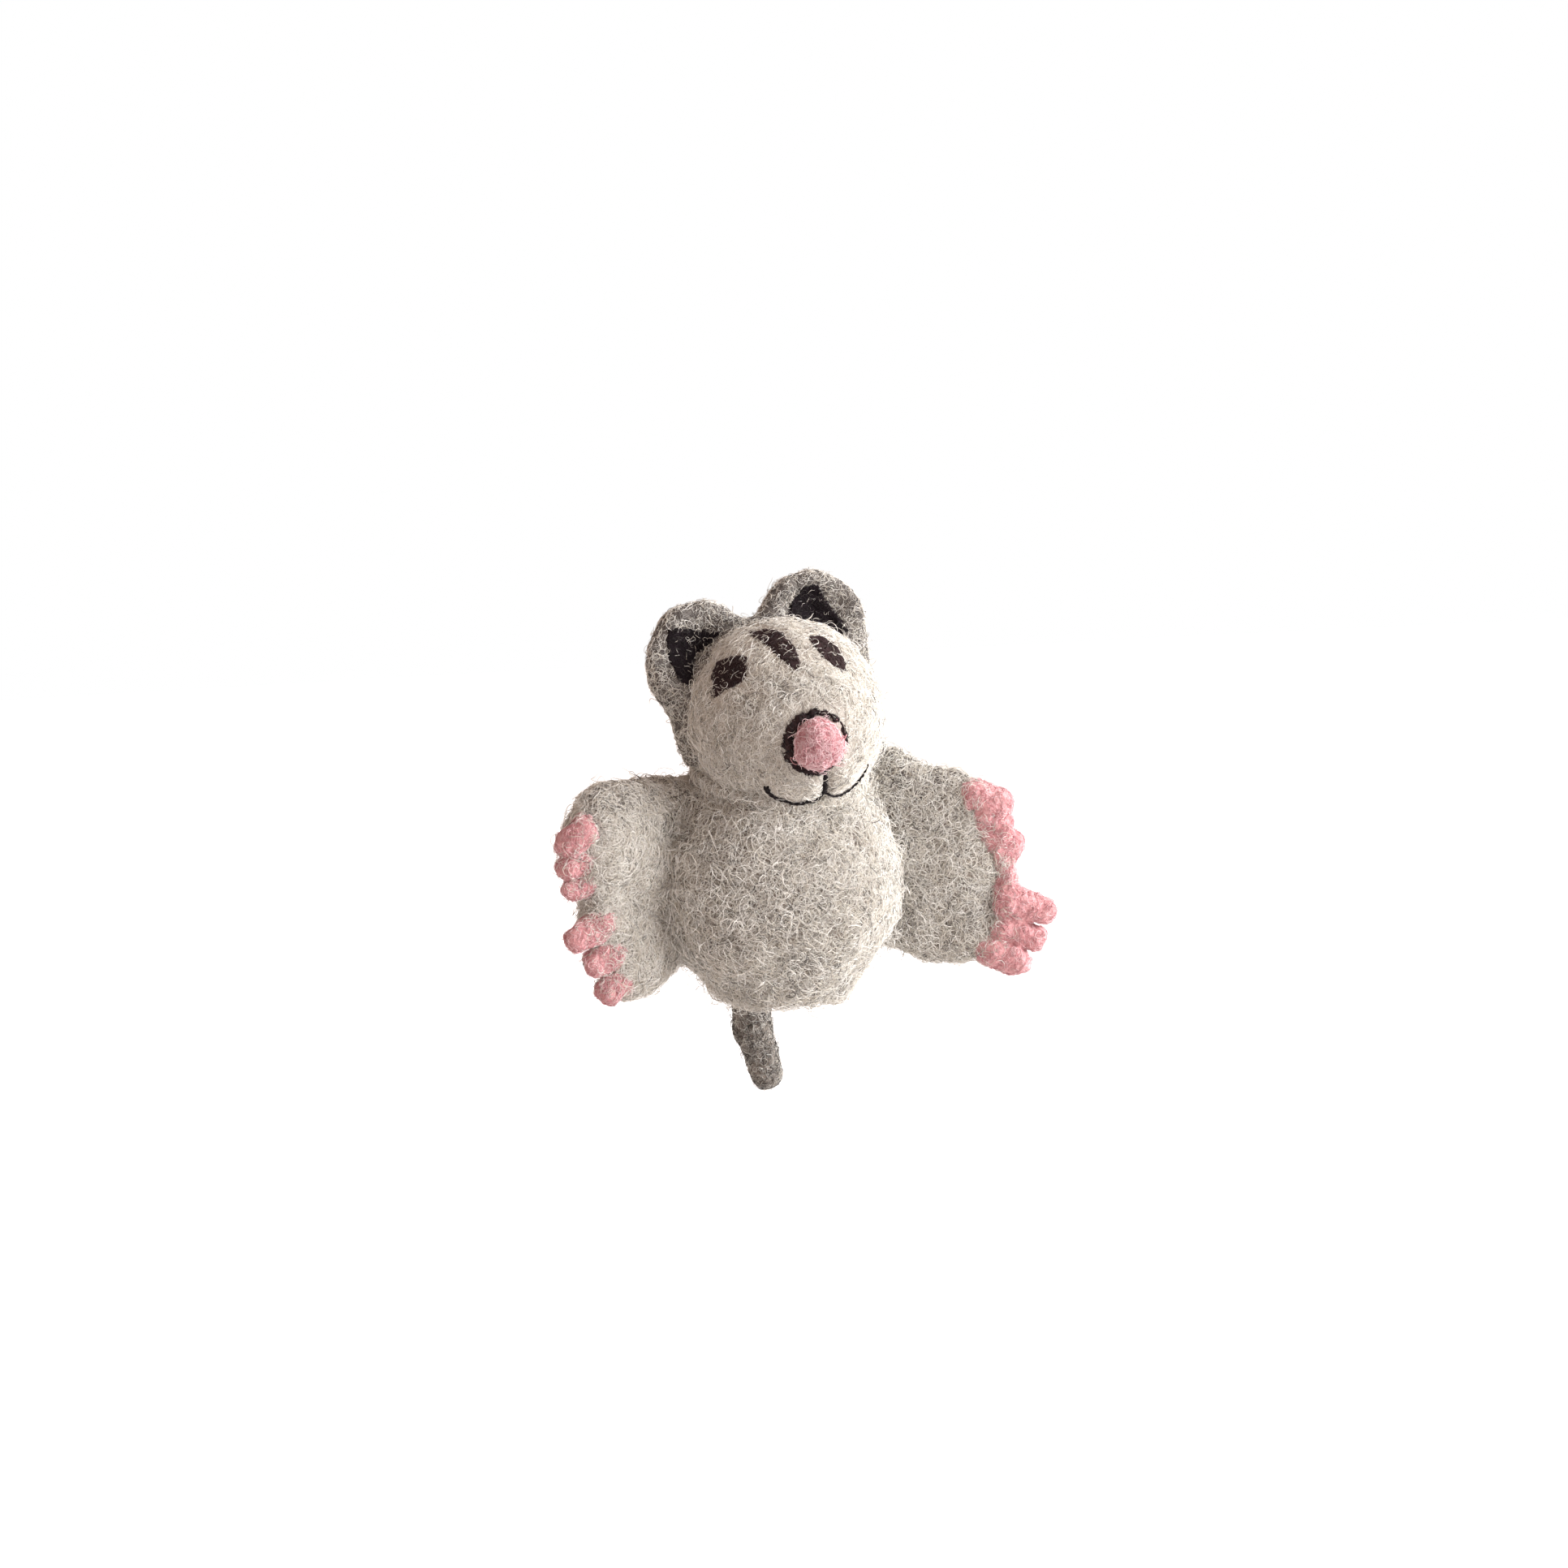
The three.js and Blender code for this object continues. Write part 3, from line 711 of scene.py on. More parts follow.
def make_belly():
    """The belly's felt and loose wool; dark fibres along its seams are charcoal wool by the neck and
    painted shade in the folds beside the wings.
    """
    felt = Felt("belly_felt", belly_field, (-23, -23, -2), (23, 18, 43), GREY_FELT, "grey_wool")
    felt.stands_for("body", body="body")

    def outside(p, rng):
        """Neither in the pocket nor in the dish."""
        return (np.hypot(p[:, 0], p[:, 1]) > 9) & (ball(p, HEAD, NECK_DISH) > 0.3)

    def shoulders(p, rng):
        """Along the seams where the wings and the head join: charcoal wool by the neck, painted shade
        down the folds beside the wings.
        """
        near = 1 - smooth(np.abs(np.abs(p[:, 0]) - 16.5), 1.0, 4.5)
        return (rng.random(len(p)) < 0.8 * near * smooth(p[:, 2], 20, 36)) & outside(p, rng)

    fuzz(felt, 4.0, (1.8, 5.0), (0.1, 0.3), GREY_MIX, 101, outside, stray=0.1)
    fuzz(felt, 2.4, (3.0, 7.0), (0.3, 1.0), PALE_MIX, 102, outside, stray=0.25, kind=CURLED)
    # dark fibres on the seams: charcoal wool by the neck, painted shade in the folds beside the wings
    fuzz(felt, 2.5, (1.2, 3.2), (0.1, 0.35), CHAR_MIX, 103, shoulders)


def collar_field(p):
    """The roll of wool where the dish's edge meets the belly, cut clear of the chin."""
    roll = np.hypot(ball(p, HEAD, COLLAR_AWAY), egg(p) - COLLAR_RISE) - COLLAR_TUBE
    return cut(roll + felted(p, 21), chin_room(p, (0,), 0.1), 0.3)


def plug_field(p):
    """The soft disc between the head and the belly's recess."""
    shell = meet(ball(p, HEAD, PLUG_OUTSIDE), -ball(p, HEAD, HEAD_RADIUS + 0.25), 0.3)
    return meet(shell, beside_neck(p) - PLUG_RADIUS, 0.3)


def make_neck():
    """The collar and the plug."""
    low, high = (-18, -23, 29), (20, 12, 42)
    felt = Felt("neck_collar", collar_field, low, high, FACE_FELT, "pale_wool", step=FINER)
    felt.stands_for("neck_wrap", body="neck_wrap")
    fuzz(felt, 3.5, (1.2, 3.5), (0.08, 0.3), PALE_MIX, 111)
    fuzz(felt, 1.6, (2.5, 5.5), (0.2, 0.7), PALE_MIX, 112, kind=CURLED)
    low, high = (-8, -16, 29), (10, 3, 34)
    core = Felt("neck_plug", plug_field, low, high, CORE_FELT, "grey_wool", step=FINER)
    core.stands_for("neck_core", body="neck_core")


# ---- head, in its own leaning frame ----

ORIGIN = np.zeros(3)
NOSE_CENTRE = NOSE_WAY * NOSE_OFFSET
NOSE_RING = NOSE_WAY * NOSE_RING_OFFSET
GROOVE = (direction(0, -30) * 18.6, direction(0, -50) * 18.4, 0.6)
LOBES = {-1: ((-14.9, 3.2, -1.5), 2.4), 1: ((15.4, 2.6, -8.5), 2.7)}


def face_form(p):
    """The head's outside: skull, muzzle and the groove under the nose."""
    form = join(ball(p, ORIGIN, HEAD_RADIUS), muzzle_form(p), 3)
    return cut(form, capsule(p, *GROOVE), 1.5) + felted(p, 31)


def head_field(p):
    """The head's skin, hollow, with a small opening below."""
    opening = capsule(p, (0, 0, -30), (0, 0, -5), HEAD_OPENING)
    return cut(cut(face_form(p), ball(p, ORIGIN, HEAD_HOLLOW), 0.5), opening, 1.0)


def stuffing_field(p):
    """The wool ball in the head."""
    return ball(p, ORIGIN, STUFFING_RADIUS) + felted(p, 35)


def hood_field(p):
    """The hood over the back of the head, with cupped ears and a lobe down each side."""
    front = HOOD_FRONT + 0.55 * np.maximum(2 - p[:, 2], 0)
    form = np.linalg.norm(p, axis=1) - (16.5 + 1.6 * smooth(p[:, 1] - front, 0, 4.4))
    for side in (-1, 1):
        q = p - mirrored(EAR, side)
        out = np.maximum(np.hypot(q[:, 0], q[:, 2]) - EAR_RADIUS, 0)
        ear = np.hypot(out, q[:, 1]) - EAR_HALF
        ear = cut(ear, ball(p, mirrored(EAR_DISH, side), EAR_DISH_RADIUS), 1.8)
        form = join(form, ear, 2.6)
        low, thin = LOBES[side]
        lobe = capsule(p, mirrored(LOBE_TOP, side), low, LOBE_TOP_RADIUS, thin)
        form = join(form, lobe, 3.0)
    form = form + felted(p, 41)
    form = cut(form, ball(p, ORIGIN, HOOD_INSIDE), 0.5)
    return meet(form, HOOD_BOTTOM - p[:, 2], 0.8)


def lining_base(p):
    """The ears' surface, for the linings to lie on."""
    return np.maximum(hood_field(p), p[:, 1] - 4.6)


def patch_field(base, way, centre, outline, half, seed):
    """A thin felt shape on a base field, its outline seen along a direction."""
    right = np.cross(UP, way)
    right /= np.linalg.norm(right)
    up = np.cross(way, right)

    def field(p):
        q = p - centre
        flat = outline_distance(q @ right, q @ up, outline) + lumps(p, 1.0, 0.12, seed)
        shell = np.abs(base(p)) - half
        return np.maximum(meet(flat, shell, 0.5), -(q @ way) - 9)

    return field


# outlines: (towards the puppet's left, up) from each shape's centre
EYE_RIGHT = [(-3.9, 3.7), (-0.3, 3.8), (3.0, 3.2), (3.6, 0.6), (3.4, -1.4), (0.7, -2.6)]
EYE_RIGHT += [(-2.9, -3.6), (-3.7, -1), (-4.5, 1.3)]
EYE_LEFT = [(-0.3, 4.3), (2.0, 4.1), (2.7, 2.0), (2.8, -0.7), (1.7, -3.2), (0.5, -4.8)]
EYE_LEFT += [(-1.0, -4.6), (-1.9, -2.9), (-2.3, -0.7), (-2.0, 1.9)]
STRIPE = [(-2.4, 8.3), (0.4, 6.9), (2.6, 4.4), (3.8, 0.3), (3.8, -2.6), (3.1, -4.9)]
STRIPE += [(2.1, -5.5), (1.4, -3.6), (0.4, -1.5), (-0.7, 2.0), (-2.4, 4.9)]
LINING_RIGHT = [(-5.0, 6.6), (-2.0, 6.0), (0.8, 4.6), (4.2, 3.6), (2.0, 2.2), (-0.6, 1.0)]
LINING_RIGHT += [(-2.6, -1.2), (-4.2, -4.2), (-5.6, -2.6), (-5.9, 0.6), (-5.8, 3.8)]
LINING_LEFT = [(1.0, 7.2), (2.4, 6.6), (3.4, 4.0), (4.5, 1.0), (4.9, -2.4), (2.5, -2.2)]
LINING_LEFT += [(0, -0.6), (-2.6, 0.8), (-5.0, 2.6), (-2.8, 5.2), (-0.8, 6.8)]
# how a patch looks: its felt, its slot and its loose fibres
BROWN_LOOK = (BROWN_FELT, "brown_felt", BROWN_MIX)
BLACK_LOOK = (BLACK_FELT, "black_felt", BLACK_MIX)


def patch(node, base, way, centre, outline, half, look, seed, reach):
    """A felt patch on the head in a node's place; returns its field."""
    material, slot, mix = look
    field = patch_field(base, way, centre, outline, half, seed)
    low, high = centre - reach, centre + reach
    felt = Felt(f"{node}_felt", field, low, high, material, slot, HEAD_PLACE, FINEST)
    felt.stands_for(node, body="head")
    fuzz(felt, 5.0, (0.8, 2.2), (0.05, 0.16), mix, seed)
    return field


def make_patches():
    """Eye patches, forehead stripe and ear linings; returns the fields of those on the face."""
    fields = []
    for node, azimuth, elevation, outline in (
        ("eye_patch_right", -49, 39, EYE_RIGHT),
        ("eye_patch_left", 31, 37, EYE_LEFT),
        ("forehead_stripe", -11, 48, STRIPE),
    ):
        way = direction(azimuth, elevation)
        centre, seed = way * PATCH_OFFSET, 60 + azimuth
        fields.append(patch(node, face_form, way, centre, outline, 0.2, BROWN_LOOK, seed, 9.5))
    forward = np.array([0, -1.0, 0])
    for name, side, outline in (("right", -1, LINING_RIGHT), ("left", 1, LINING_LEFT)):
        node, centre, seed = f"ear_lining_{name}", mirrored(LINING, side), 80 + side
        patch(node, lining_base, forward, centre, outline, 0.35, BLACK_LOOK, seed, 9.0)
    return fields


def make_head():
    """The head with its stuffing, hood, patches and mouth, and the loose wool on it."""
    low, high = (-19, -21, -19), (19, 19, 19)
    head = Felt("head_felt", head_field, low, high, FACE_FELT, "pale_wool", HEAD_PLACE)
    head.stands_for("head_skin", body="head")
    low, high = (-14, -14, -14), (14, 14, 14)
    core = Felt("head_stuffing", stuffing_field, low, high, CORE_FELT, "core_wool", HEAD_PLACE, 0.7)
    core.stands_for("head_core", body="head")
    low, high = (-23, -5, -13), (23, 21, 26)
    hood = Felt("hood_and_ears", hood_field, low, high, HOOD_FELT, "dark_wool", HEAD_PLACE)
    hood.stands_for("head_hood", "ear_left", "ear_right", body="head")
    patches = make_patches()
    threads = make_mouth()[::5]

    def bare(margin, crossing):
        """On the face, off the nose, and mostly off the dark patches and the mouth."""

        def keep(p, rng):
            shown = (np.linalg.norm(p, axis=1) > 15) & (p[:, 1] < 4.5)
            covered = np.linalg.norm(p[:, None] - threads, axis=2).min(1) < margin + 0.5
            for field in patches:
                covered |= field(p) < margin
            near_nose = np.linalg.norm(p - NOSE_CENTRE, axis=1) < 6.2 + margin
            return shown & (~covered | (rng.random(len(p)) < crossing)) & ~near_nose

        return keep

    def outside(p, rng):
        """On the outside of the hood."""
        return (np.linalg.norm(p, axis=1) > 16.9) & (p[:, 1] > -1.5)

    def behind(p, rng):
        """On the outside of the hood, and clear of the linings."""
        return outside(p, rng) & ((p[:, 1] > 2.5) | (np.abs(p[:, 0]) > 17.5))

    fuzz(head, 4.5, (1.5, 4.2), (0.08, 0.25), PALE_MIX, 121, bare(0.3, 0.12), stray=0.08)
    fuzz(head, 1.8, (2.5, 5.5), (0.25, 0.8), PALE_MIX, 122, bare(2.0, 0.04), kind=CURLED)
    fuzz(hood, 5.0, (1.0, 2.8), (0.05, 0.18), HOOD_MIX, 131, outside, stray=0.06)
    fuzz(hood, 0.8, (2.0, 5.0), (0.15, 0.5), PALE_MIX, 132, behind, kind=CURLED)


def nose_field(p):
    """A short upright rod with round ends."""
    half = UP * NOSE_HALF
    return capsule(p, NOSE_CENTRE - half, NOSE_CENTRE + half, *NOSE_RADII) + 1.8 * felted(p, 51)


def nose_ring_field(p):
    """The dark ring behind the nose, thicker at the puppet's right, the nose's shaded side; the extra
    width there is painted shade.
    """
    around = p - NOSE_RING
    # wider on the nose's shaded side: painted shade
    tube = 0.6 + 0.4 * smooth(-around[:, 0] - 0.3 * around[:, 2], -3, 4)
    return ring(p, NOSE_RING, NOSE_WAY, NOSE_RING_RADIUS, tube) + lumps(p, 1.2, 0.14, 55)


def make_nose():
    """The nose and the ring round it."""
    low, high = NOSE_CENTRE - 6, NOSE_CENTRE + 6
    nose = Felt("nose_felt", nose_field, low, high, NOSE_FELT, "pink_wool", HEAD_PLACE, FINER)
    nose.stands_for("nose", body="head")
    fuzz(nose, 7.0, (0.8, 2.6), (0.06, 0.25), NOSE_MIX, 141)
    fuzz(nose, 5.0, (1.5, 3.5), (0.15, 0.5), NOSE_MIX, 142, kind=CURLED)
    name, low, high = "nose_ring_felt", NOSE_RING - 8, NOSE_RING + 8
    felt = Felt(name, nose_ring_field, low, high, BROWN_FELT, "brown_felt", HEAD_PLACE, FINER)
    felt.stands_for("nose_ring", body="head")
    fuzz(felt, 4.0, (0.8, 2.0), (0.05, 0.2), BLACK_MIX, 151)


# the mouth's threads: (azimuth, elevation) from the head's centre
PHILTRUM = [(-0.5, -30), (-0.3, -36), (-0.4, -41), (-0.5, -46.2)]
SMILE_RIGHT = [(-0.5, -46.2), (-9, -48.4), (-23, -45.2), (-34, -39.5), (-38, -33), (-37.5, -28.5)]
SMILE_LEFT = [(-0.5, -46.2), (12, -51.5), (27, -52), (38, -46.5), (41, -36)]
THREAD_SIDES = 8


def thread_path(ways):
    """A smooth path over the face through (azimuth, elevation) points."""
    ways = np.array(ways, float)
    spot = np.linspace(0, len(ways) - 1, 14 * (len(ways) - 1) + 1)
    angles = [np.interp(spot, range(len(ways)), ways[:, i]) for i in range(2)]
    longer = [np.pad(a, 4, mode="reflect", reflect_type="odd") for a in angles]
    azimuth, elevation = (np.convolve(a, np.ones(9) / 9, "valid") for a in longer)
    path = np.array([direction(a, e) * 18 for a, e in zip(azimuth, elevation)])
    return settle(face_form, path, 5)


def twisted_thread(name, node, ways, radius, knot=0.0):
    """Two-ply thread on the face, with any knot at its end; returns its path."""
    path = thread_path(ways)
    normal, _ = gradient(face_form, path)
    tangent = np.gradient(path, axis=0)
    tangent /= np.linalg.norm(tangent, axis=1)[:, None]
    side = np.cross(tangent, normal)
    along = np.concatenate([[0], np.cumsum(np.linalg.norm(np.diff(path, axis=0), axis=1))])
    swell = 1 + knot * np.exp(-((along - along[-1]) ** 2) / 2.2)
    taper = np.minimum(1, 0.3 + np.minimum(along, along[-1] - along) / 0.5)
    angles = np.linspace(0, 2 * math.pi, THREAD_SIDES, endpoint=False)
    count = len(path) * THREAD_SIDES
    points, faces = [], []
    for ply in range(2):
        twist = along * 3.4 + ply * math.pi
        offset = radius * 0.62 * swell[:, None]
        middle = path + normal * (0.22 + radius * 0.3)
        middle = middle + offset * (np.cos(twist)[:, None] * side + np.sin(twist)[:, None] * normal)
        for k in range(len(path)):
            loop = np.cos(angles)[:, None] * side[k] + np.sin(angles)[:, None] * normal[k]
            points.append(middle[k] + radius * 0.66 * swell[k] * taper[k] * loop)
        index = ply * count + np.arange(count).reshape(len(path), THREAD_SIDES)
        beside = np.roll(index, -1, axis=1)
        faces.append(np.stack([index[:-1], beside[:-1], beside[1:], index[1:]], -1).reshape(-1, 4))
        faces.append(index[:1, ::-1])
        faces.append(index[-1:])
    ob = make_object(name, np.concatenate(points), faces, HEAD_PLACE, [THREAD])
    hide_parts(node)
    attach(ob, "head")
    return path


def make_mouth():
    """The three mouth threads; returns points along them."""
    paths = [
        twisted_thread("philtrum_thread", "philtrum_stitch", PHILTRUM, 0.4),
        twisted_thread("smile_right_thread", "smile_stitch_right", SMILE_RIGHT, 0.24, 1.2),
        twisted_thread("smile_left_thread", "smile_stitch_left", SMILE_LEFT, 0.2),
    ]
    return np.concatenate(paths)


# ---- wings, in their own upright planes ----

# outlines: (out, up) from the seam beside the belly
ARM_RIGHT = [(-4, 38.5), (4.9, 40.4), (12.9, 39.8), (20, 37.8), (24.6, 34), (25.8, 29.5)]
ARM_RIGHT += [(24.4, 23.6), (20.4, 19.6), (9, 18.2), (-4, 18)]
LEG_RIGHT = [(-4, 23.5), (5, 24), (13, 23.6), (20.2, 22), (22, 16.5), (19.6, 10.5)]
LEG_RIGHT += [(17.4, 6), (14.4, 2.6), (10.5, 2.9), (7.5, 4.4), (3.4, 6.6), (-4, 9)]
ARM_LEFT = [(-4, 38.4), (3.4, 41.6), (9, 40.4), (13.5, 38.8), (17.6, 36.8), (19.8, 34.4)]
ARM_LEFT += [(20.8, 31), (22.4, 27), (23.2, 21.5), (14, 18.5), (-4, 18)]
LEG_LEFT = [(-4, 22), (12, 23), (22.6, 22.5), (23, 17.5), (24.2, 13.5), (24.4, 8.5)]
LEG_LEFT += [(22, 4.8), (17, 3.2), (9.5, 4.2), (2.4, 6.6), (-4, 9)]
# toes: root and tip (out, forward, up) and the radius at each
TOES = {
    "right": {
        "front": [
            ((23.4, -2.4, 32.4), (25.6, -1.4, 30.6), 2.8, 2.6),
            ((23.6, -1.7, 27.2), (25.8, -1.0, 26.6), 2.5, 2.2),
            ((22.6, -1.2, 23.9), (24.8, -0.8, 22.9), 2.3, 2.0),
        ],
        "hind": [
            ((19.8, -1.4, 16.6), (24.6, -0.8, 14.3), 2.8, 2.3),
            ((17.9, -1.2, 10.9), (20.7, -0.6, 9.8), 2.7, 2.3),
            ((16.2, -1.0, 6.2), (18.4, -0.5, 4.8), 2.6, 2.3),
        ],
    },
    "left": {
        "front": [
            ((20.2, -1.4, 33.2), (24.2, -1.2, 31.8), 3.1, 2.8),
            ((21.8, -1.2, 29.2), (24.6, -0.8, 27.8), 2.9, 2.2),
            ((23.2, -0.8, 25.8), (26.8, -0.4, 24.8), 2.5, 1.8),
        ],
        "hind": [
            ((25.6, -1.0, 13.6), (31.5, -0.6, 12.2), 3.4, 2.3),
            ((24.4, -0.6, 9.4), (29.3, -0.2, 7.4), 3.3, 2.4),
            ((22.0, -1.0, 5.6), (26.3, -0.6, 3.4), 3.2, 2.5),
        ],
    },
}
# pink edge of the left wing's web, which runs on from each of its paws
WEB_TOP, WEB_MIDDLE = (23.8, -0.6, 27.5), (24.9, -0.5, 20.5)
PINK_WEB = {"front": (WEB_TOP, WEB_MIDDLE), "hind": (WEB_MIDDLE, (25.6, -0.6, 13.0))}
# what the two wings differ in
WINGS = {
    "left": {
        "side": 1,
        "arm": (ARM_LEFT, 4.2, 7.5),
        "leg": (LEG_LEFT, 4.0, 6.5),
        "crease": 3.5,
        "webbed": 0.7,
        "web": PINK_WEB,
        "felt": GREY_FELT,
        "mix": GREY_MIX,
        # charcoal fibres over the upper half: some charcoal wool, and painted shadow of the head
        "charcoal_and_head_shadow": 0.55,
    },
    "right": {
        "side": -1,
        "arm": (ARM_RIGHT, 5.2, 7.5),
        "leg": (LEG_RIGHT, 4.2, 6.5),
        "crease": 2.4,
        "webbed": 0.4,
        "web": {"front": (), "hind": ()},
        "felt": FACE_FELT,
        "mix": PALE_MIX,
        "charcoal_and_head_shadow": 0.0,
    },
}


def wing_place(name):
    """A wing's own axes, at its joint: x along it, y through it and z up."""
    joint = joint_place(f"wing_{name}_flap")
    turn = Matrix.Rotation(-WINGS[name]["side"] * WING_BEND, 3, "Z")
    return Place((joint[0], joint[1], 0), turn)


def outward(p, side):
    """Points with their first place counted out from the belly."""
    return np.stack([p[:, 0] * side, p[:, 1], p[:, 2]], 1)


def make_wing(name):
    """An arm and a leg with the web between them, and their two paws."""
    wing, place = WINGS[name], wing_place(name)
    side = wing["side"]

    def wing_field(p):
        q = outward(p, side)
        arm, leg = pillow(*q.T, *wing["arm"]), pillow(*q.T, *wing["leg"])
        form = join(join(arm, leg, wing["crease"]), capsule(q, *WING_ROOT), 3)
        return form + felted(p, 60 + side) + lumps(p, 12, 0.3, 66 + side)

    def clear(p, rng):
        """Clear of the seam."""
        return p[:, 0] * side > 1.5

    def charcoal_and_shade(p, rng):
        """Along the arm's upper edge, where the wool is charcoal, and down its root by the belly, where
        the dark fibres are painted shade in the fold; on the left wing, also painted shadow of the head
        over its upper half.
        """
        out, up = p[:, 0] * side, p[:, 2]
        edge = smooth(up + 0.3 * out, 37.5, 42.5)
        # on the left wing, over its upper half: painted shadow of the head, with some charcoal wool
        edge = np.maximum(edge, wing["charcoal_and_head_shadow"] * smooth(up, 24, 38))
        # down the root beside the belly: painted shade in the fold
        root = 0.5 * (1 - smooth(out, 3, 8)) * smooth(up, 22, 34)
        return clear(p, rng) & (rng.random(len(p)) < np.maximum(edge, root))

    low, high = ((-7, -8, -1), (27, 8, 43)) if side > 0 else ((-27, -8, -1), (7, 8, 43))
    felt = Felt(f"wing_{name}_felt", wing_field, low, high, wing["felt"], "grey_wool", place)
    start = place.out(np.array([[-3.5 * side, 0, WING_MIDDLE]]))[0] * MM
    end = place.out(np.array([[4.5 * side, 0, WING_MIDDLE]]))[0] * MM
    bend = ("body", f"wing_{name}", tuple(start), tuple(end))
    felt.stands_for(f"arm_{name}", f"leg_{name}", f"web_{name}", bend=bend)
    fuzz(felt, 4.4, (1.6, 4.8), (0.1, 0.3), wing["mix"], 161 + side, clear, stray=0.08)
    fuzz(felt, 2.3, (3.0, 6.5), (0.25, 0.8), PALE_MIX, 191 + side, clear, stray=0.15, kind=CURLED)
    # charcoal fibres: charcoal wool on the top edge, painted shade in the root's fold, and painted head
    # shadow on the left wing
    fuzz(felt, 3.0, (1.0, 3.0), (0.1, 0.35), CHAR_MIX, 201 + side, charcoal_and_shade)
    for paw in ("front", "hind"):
        make_paw(name, paw, place, wing_field)


def make_paw(name, paw, place, wing_field):
    """Three pink toes in one felt, with pale wool where they meet the wing."""
    wing, toes = WINGS[name], TOES[name][paw]
    side, web = wing["side"], wing["web"][paw]

    def paw_field(p):
        q = outward(p, side)
        form = capsule(q, *toes[0])
        for toe in toes[1:]:
            form = join(form, capsule(q, *toe), wing["webbed"])
        if web:
            form = join(form, capsule(q, *web, 2.0), 2.5)
        return form + lumps(p, 4, 0.14, 70 + side) + lumps(p, 1.5, 0.07, 72)

    def beside_wing(p, rng):
        """Beside the wing, and more of them the nearer to it."""
        return wing_field(p) < rng.uniform(0, 2.4, len(p))

    ends = np.array([*(point for toe in toes for point in toe[:2]), *web])
    low, high = ends.min(0) - 4, ends.max(0) + 4
    if side < 0:
        low[0], high[0] = -high[0], -low[0]
    felt = Felt(f"paw_{paw}_{name}_felt", paw_field, low, high, PINK_FELT, "pink_wool", place, FINE)
    nodes = [f"toe_{paw}_{name}_{which}" for which in ("upper", "middle", "lower")]
    felt.stands_for(*nodes, body=f"wing_{name}")
    fuzz(felt, 5.0, (0.8, 2.4), (0.05, 0.2), PINK_MIX, 171 + side)
    fuzz(felt, 3.5, (1.2, 3.2), (0.1, 0.35), PALE_MIX, 175 + side, beside_wing)


# ---- tail ----


def make_tail():
    """The tail in one felt, bent where its two CAD lengths meet."""
    low, high = node_box("tail_tip")
    tip = np.array([high[0] - 3.2, (low[1] + high[1]) / 2 + 0.4, low[2] + 3.2])
    thick, middle, thin = TAIL_RADII

    def tail_field(p):
        upper = capsule(p, TAIL_ROOT, TAIL_BEND, thick, middle)
        return join(upper, capsule(p, TAIL_BEND, tip, middle, thin), 1) + felted(p, 81)

    near, far = np.minimum(TAIL_ROOT, tip) - 5.5, np.maximum(TAIL_ROOT, tip) + 5.5
    felt = Felt("tail_felt", tail_field, near, far, GREY_FELT, "dark_wool", step=0.4)
    start, end = (TAIL_BEND + TAIL_BLEND) * MM, (TAIL_BEND - TAIL_BLEND) * MM
    bend = ("tail_root", "tail_tip", tuple(start), tuple(end))
    felt.stands_for("tail_root", "tail_tip", bend=bend)
    fuzz(felt, 3.0, (1.2, 3.4), (0.07, 0.25), HOOD_MIX, 181)
    # charcoal fibres thick over the whole tail: partly its own dark wool, partly painted shade
    fuzz(felt, 4.0, (1.0, 3.0), (0.07, 0.3), CHAR_MIX, 182)


# ---- studio ----

CAMERA_ANGLES = (-18, 4, 3)
CAMERA_AIM = (0, -2.5, 19.7)
CAMERA_SHIFT = (1.5, 17.65)
CAMERA_AWAY = 450
FLOOR_GAP = 2.0
FLOOR_RADII = (120, 600, 4000)
FLOOR_SEGMENTS = 96
# area lights, in metres and watts
LIGHTS = {"key": ((0.68, -0.4, 0.24), 16.5), "side": ((0.75, 0.1, 0.3), 2.5)}
LIGHT_SIZE = 0.8
LIGHT_AIM = (0, 0, 0.03)


def make_camera():
    """A camera turned to the side, raised and rolled by CAMERA_ANGLES, in degrees."""
    azimuth, _, roll = (math.radians(x) for x in CAMERA_ANGLES)
    right = Vector((math.cos(azimuth), math.sin(azimuth), 0))
    back = Vector(direction(*CAMERA_ANGLES[:2]))
    up = back.cross(right)
    target = Vector(CAMERA_AIM) + right * CAMERA_SHIFT[0] + up * CAMERA_SHIFT[1]
    across = math.cos(roll) * right - math.sin(roll) * up
    above = math.sin(roll) * right + math.cos(roll) * up
    data = bpy.data.cameras.new("camera")
    data.lens, data.sensor_width = 58.7, 36
    data.clip_start, data.clip_end = 0.01, 20
    camera = bpy.data.objects.new("camera", data)
    bpy.context.collection.objects.link(camera)
    turn = Matrix((across, above, back)).transposed()
    camera.matrix_world = Matrix.Translation((target + back * CAMERA_AWAY) * MM) @ turn.to_4x4()
    bpy.context.scene.camera = camera
    bpy.context.scene.view_settings.view_transform = "Standard"
    bpy.context.scene.view_settings.look = "None"


def floor_material():
    """Pale, faintly uneven, and bright to the camera."""
    material, nodes, links, shader = new_material("floor")
    give(shader, {"Roughness": 0.9, "Specular IOR Level": 0.1, "Emission Color": (1, 1, 1, 1)})
    where = nodes.new("ShaderNodeTexCoord").outputs["Object"]
    grain = noise(nodes, links, where, 40.0, 3).outputs["Fac"]
    ramp = nodes.new("ShaderNodeValToRGB")
    ramp.color_ramp.elements[0].color = (0.9, 0.9, 0.9, 1)
    ramp.color_ramp.elements[1].color = (0.94, 0.94, 0.94, 1)
    links.new(grain, ramp.inputs["Fac"])
    links.new(ramp.outputs["Color"], shader.inputs["Base Color"])
    seen = nodes.new("ShaderNodeLightPath").outputs["Is Camera Ray"]
    links.new(arithmetic(nodes, links, "MULTIPLY", seen, 0.72), shader.inputs["Emission Strength"])
    return material


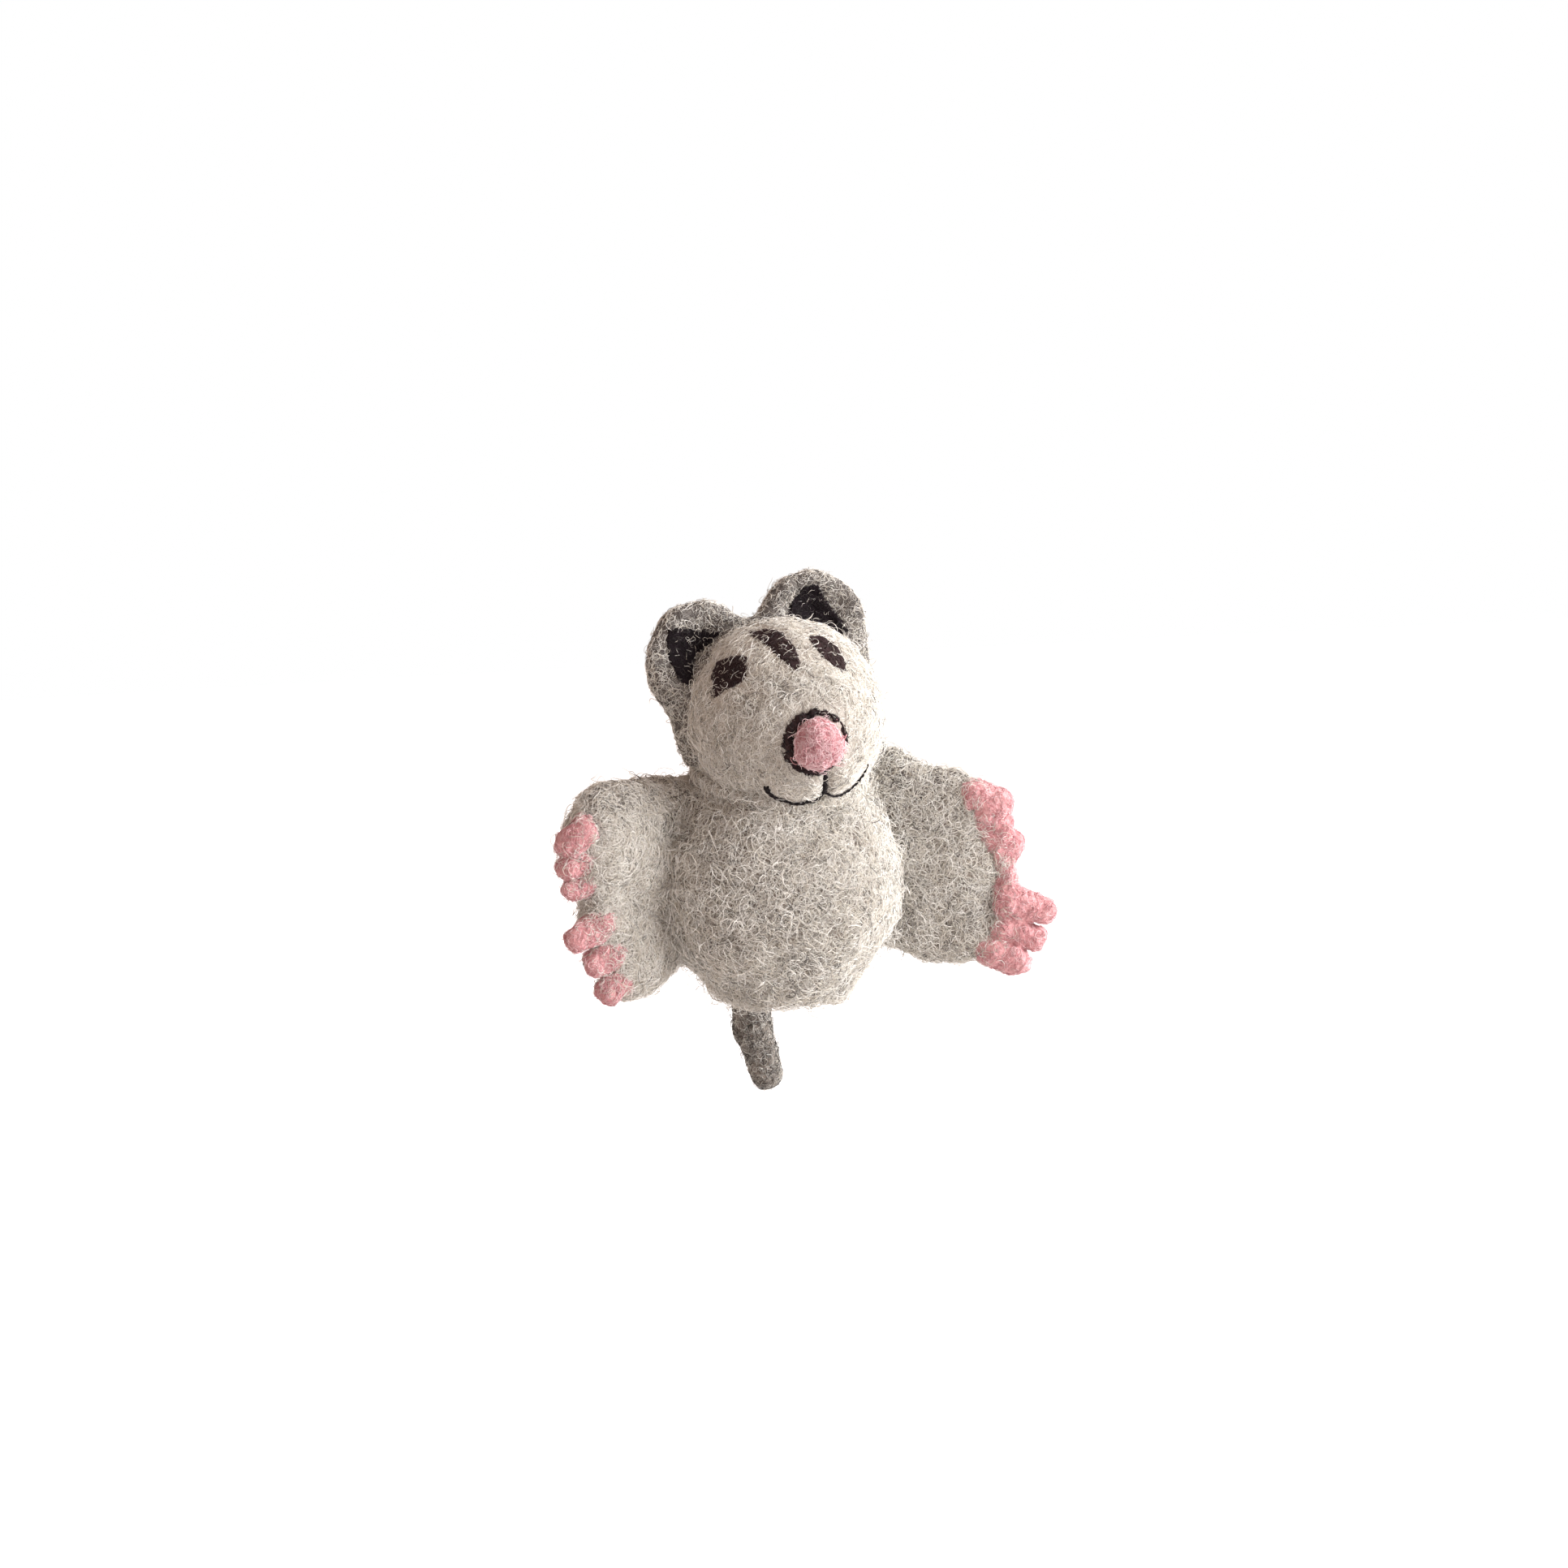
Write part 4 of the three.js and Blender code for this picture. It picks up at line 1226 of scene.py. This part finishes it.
def make_floor():
    """A wide round floor just under the tail's end."""
    angles = np.linspace(0, 2 * math.pi, FLOOR_SEGMENTS, endpoint=False)
    level = node_box("tail_tip")[0][2] - FLOOR_GAP
    points = [(0, 0, level)]
    for radius in FLOOR_RADII:
        points.extend((radius * math.cos(a), radius * math.sin(a), level) for a in angles)
    first = 1 + np.arange(FLOOR_SEGMENTS)
    faces = [np.stack([np.zeros(FLOOR_SEGMENTS, int), first, np.roll(first, -1)], 1)]
    for k in range(len(FLOOR_RADII) - 1):
        inner = first + k * FLOOR_SEGMENTS
        outer = inner + FLOOR_SEGMENTS
        faces.append(np.stack([inner, outer, np.roll(outer, -1), np.roll(inner, -1)], 1))
    make_object("floor", np.array(points), faces, ROW, [floor_material()])


def make_world():
    """White to the camera, and warm and dimmer as light."""
    world = bpy.data.worlds.new("studio")
    bpy.context.scene.world = world
    world.use_nodes = True
    nodes, links = world.node_tree.nodes, world.node_tree.links
    background = nodes["Background"]
    seen = nodes.new("ShaderNodeLightPath").outputs["Is Camera Ray"]
    strength = nodes.new("ShaderNodeMapRange")
    give(strength, {"To Min": 0.51, "To Max": 1.0})
    links.new(seen, strength.inputs["Value"])
    links.new(strength.outputs[0], background.inputs["Strength"])
    tint = nodes.new("ShaderNodeMix")
    tint.data_type = "RGBA"
    tint.inputs[6].default_value = (1.0, 0.77, 0.66, 1)
    tint.inputs[7].default_value = (1, 1, 1, 1)
    links.new(seen, tint.inputs[0])
    links.new(tint.outputs[2], background.inputs["Color"])


def make_lights():
    """Large soft lights from the puppet's left."""
    for name, (place, power) in LIGHTS.items():
        data = bpy.data.lights.new(name, "AREA")
        data.size, data.energy, data.color = LIGHT_SIZE, power, (0.99, 0.99, 1.0)
        light = bpy.data.objects.new(name, data)
        bpy.context.collection.objects.link(light)
        light.location = place
        way = Vector(place) - Vector(LIGHT_AIM)
        light.rotation_euler = way.to_track_quat("Z", "Y").to_euler()


make_camera()
make_floor()
make_world()
make_lights()
make_belly()
make_neck()
make_head()
make_nose()
make_wing("left")
make_wing("right")
make_tail()
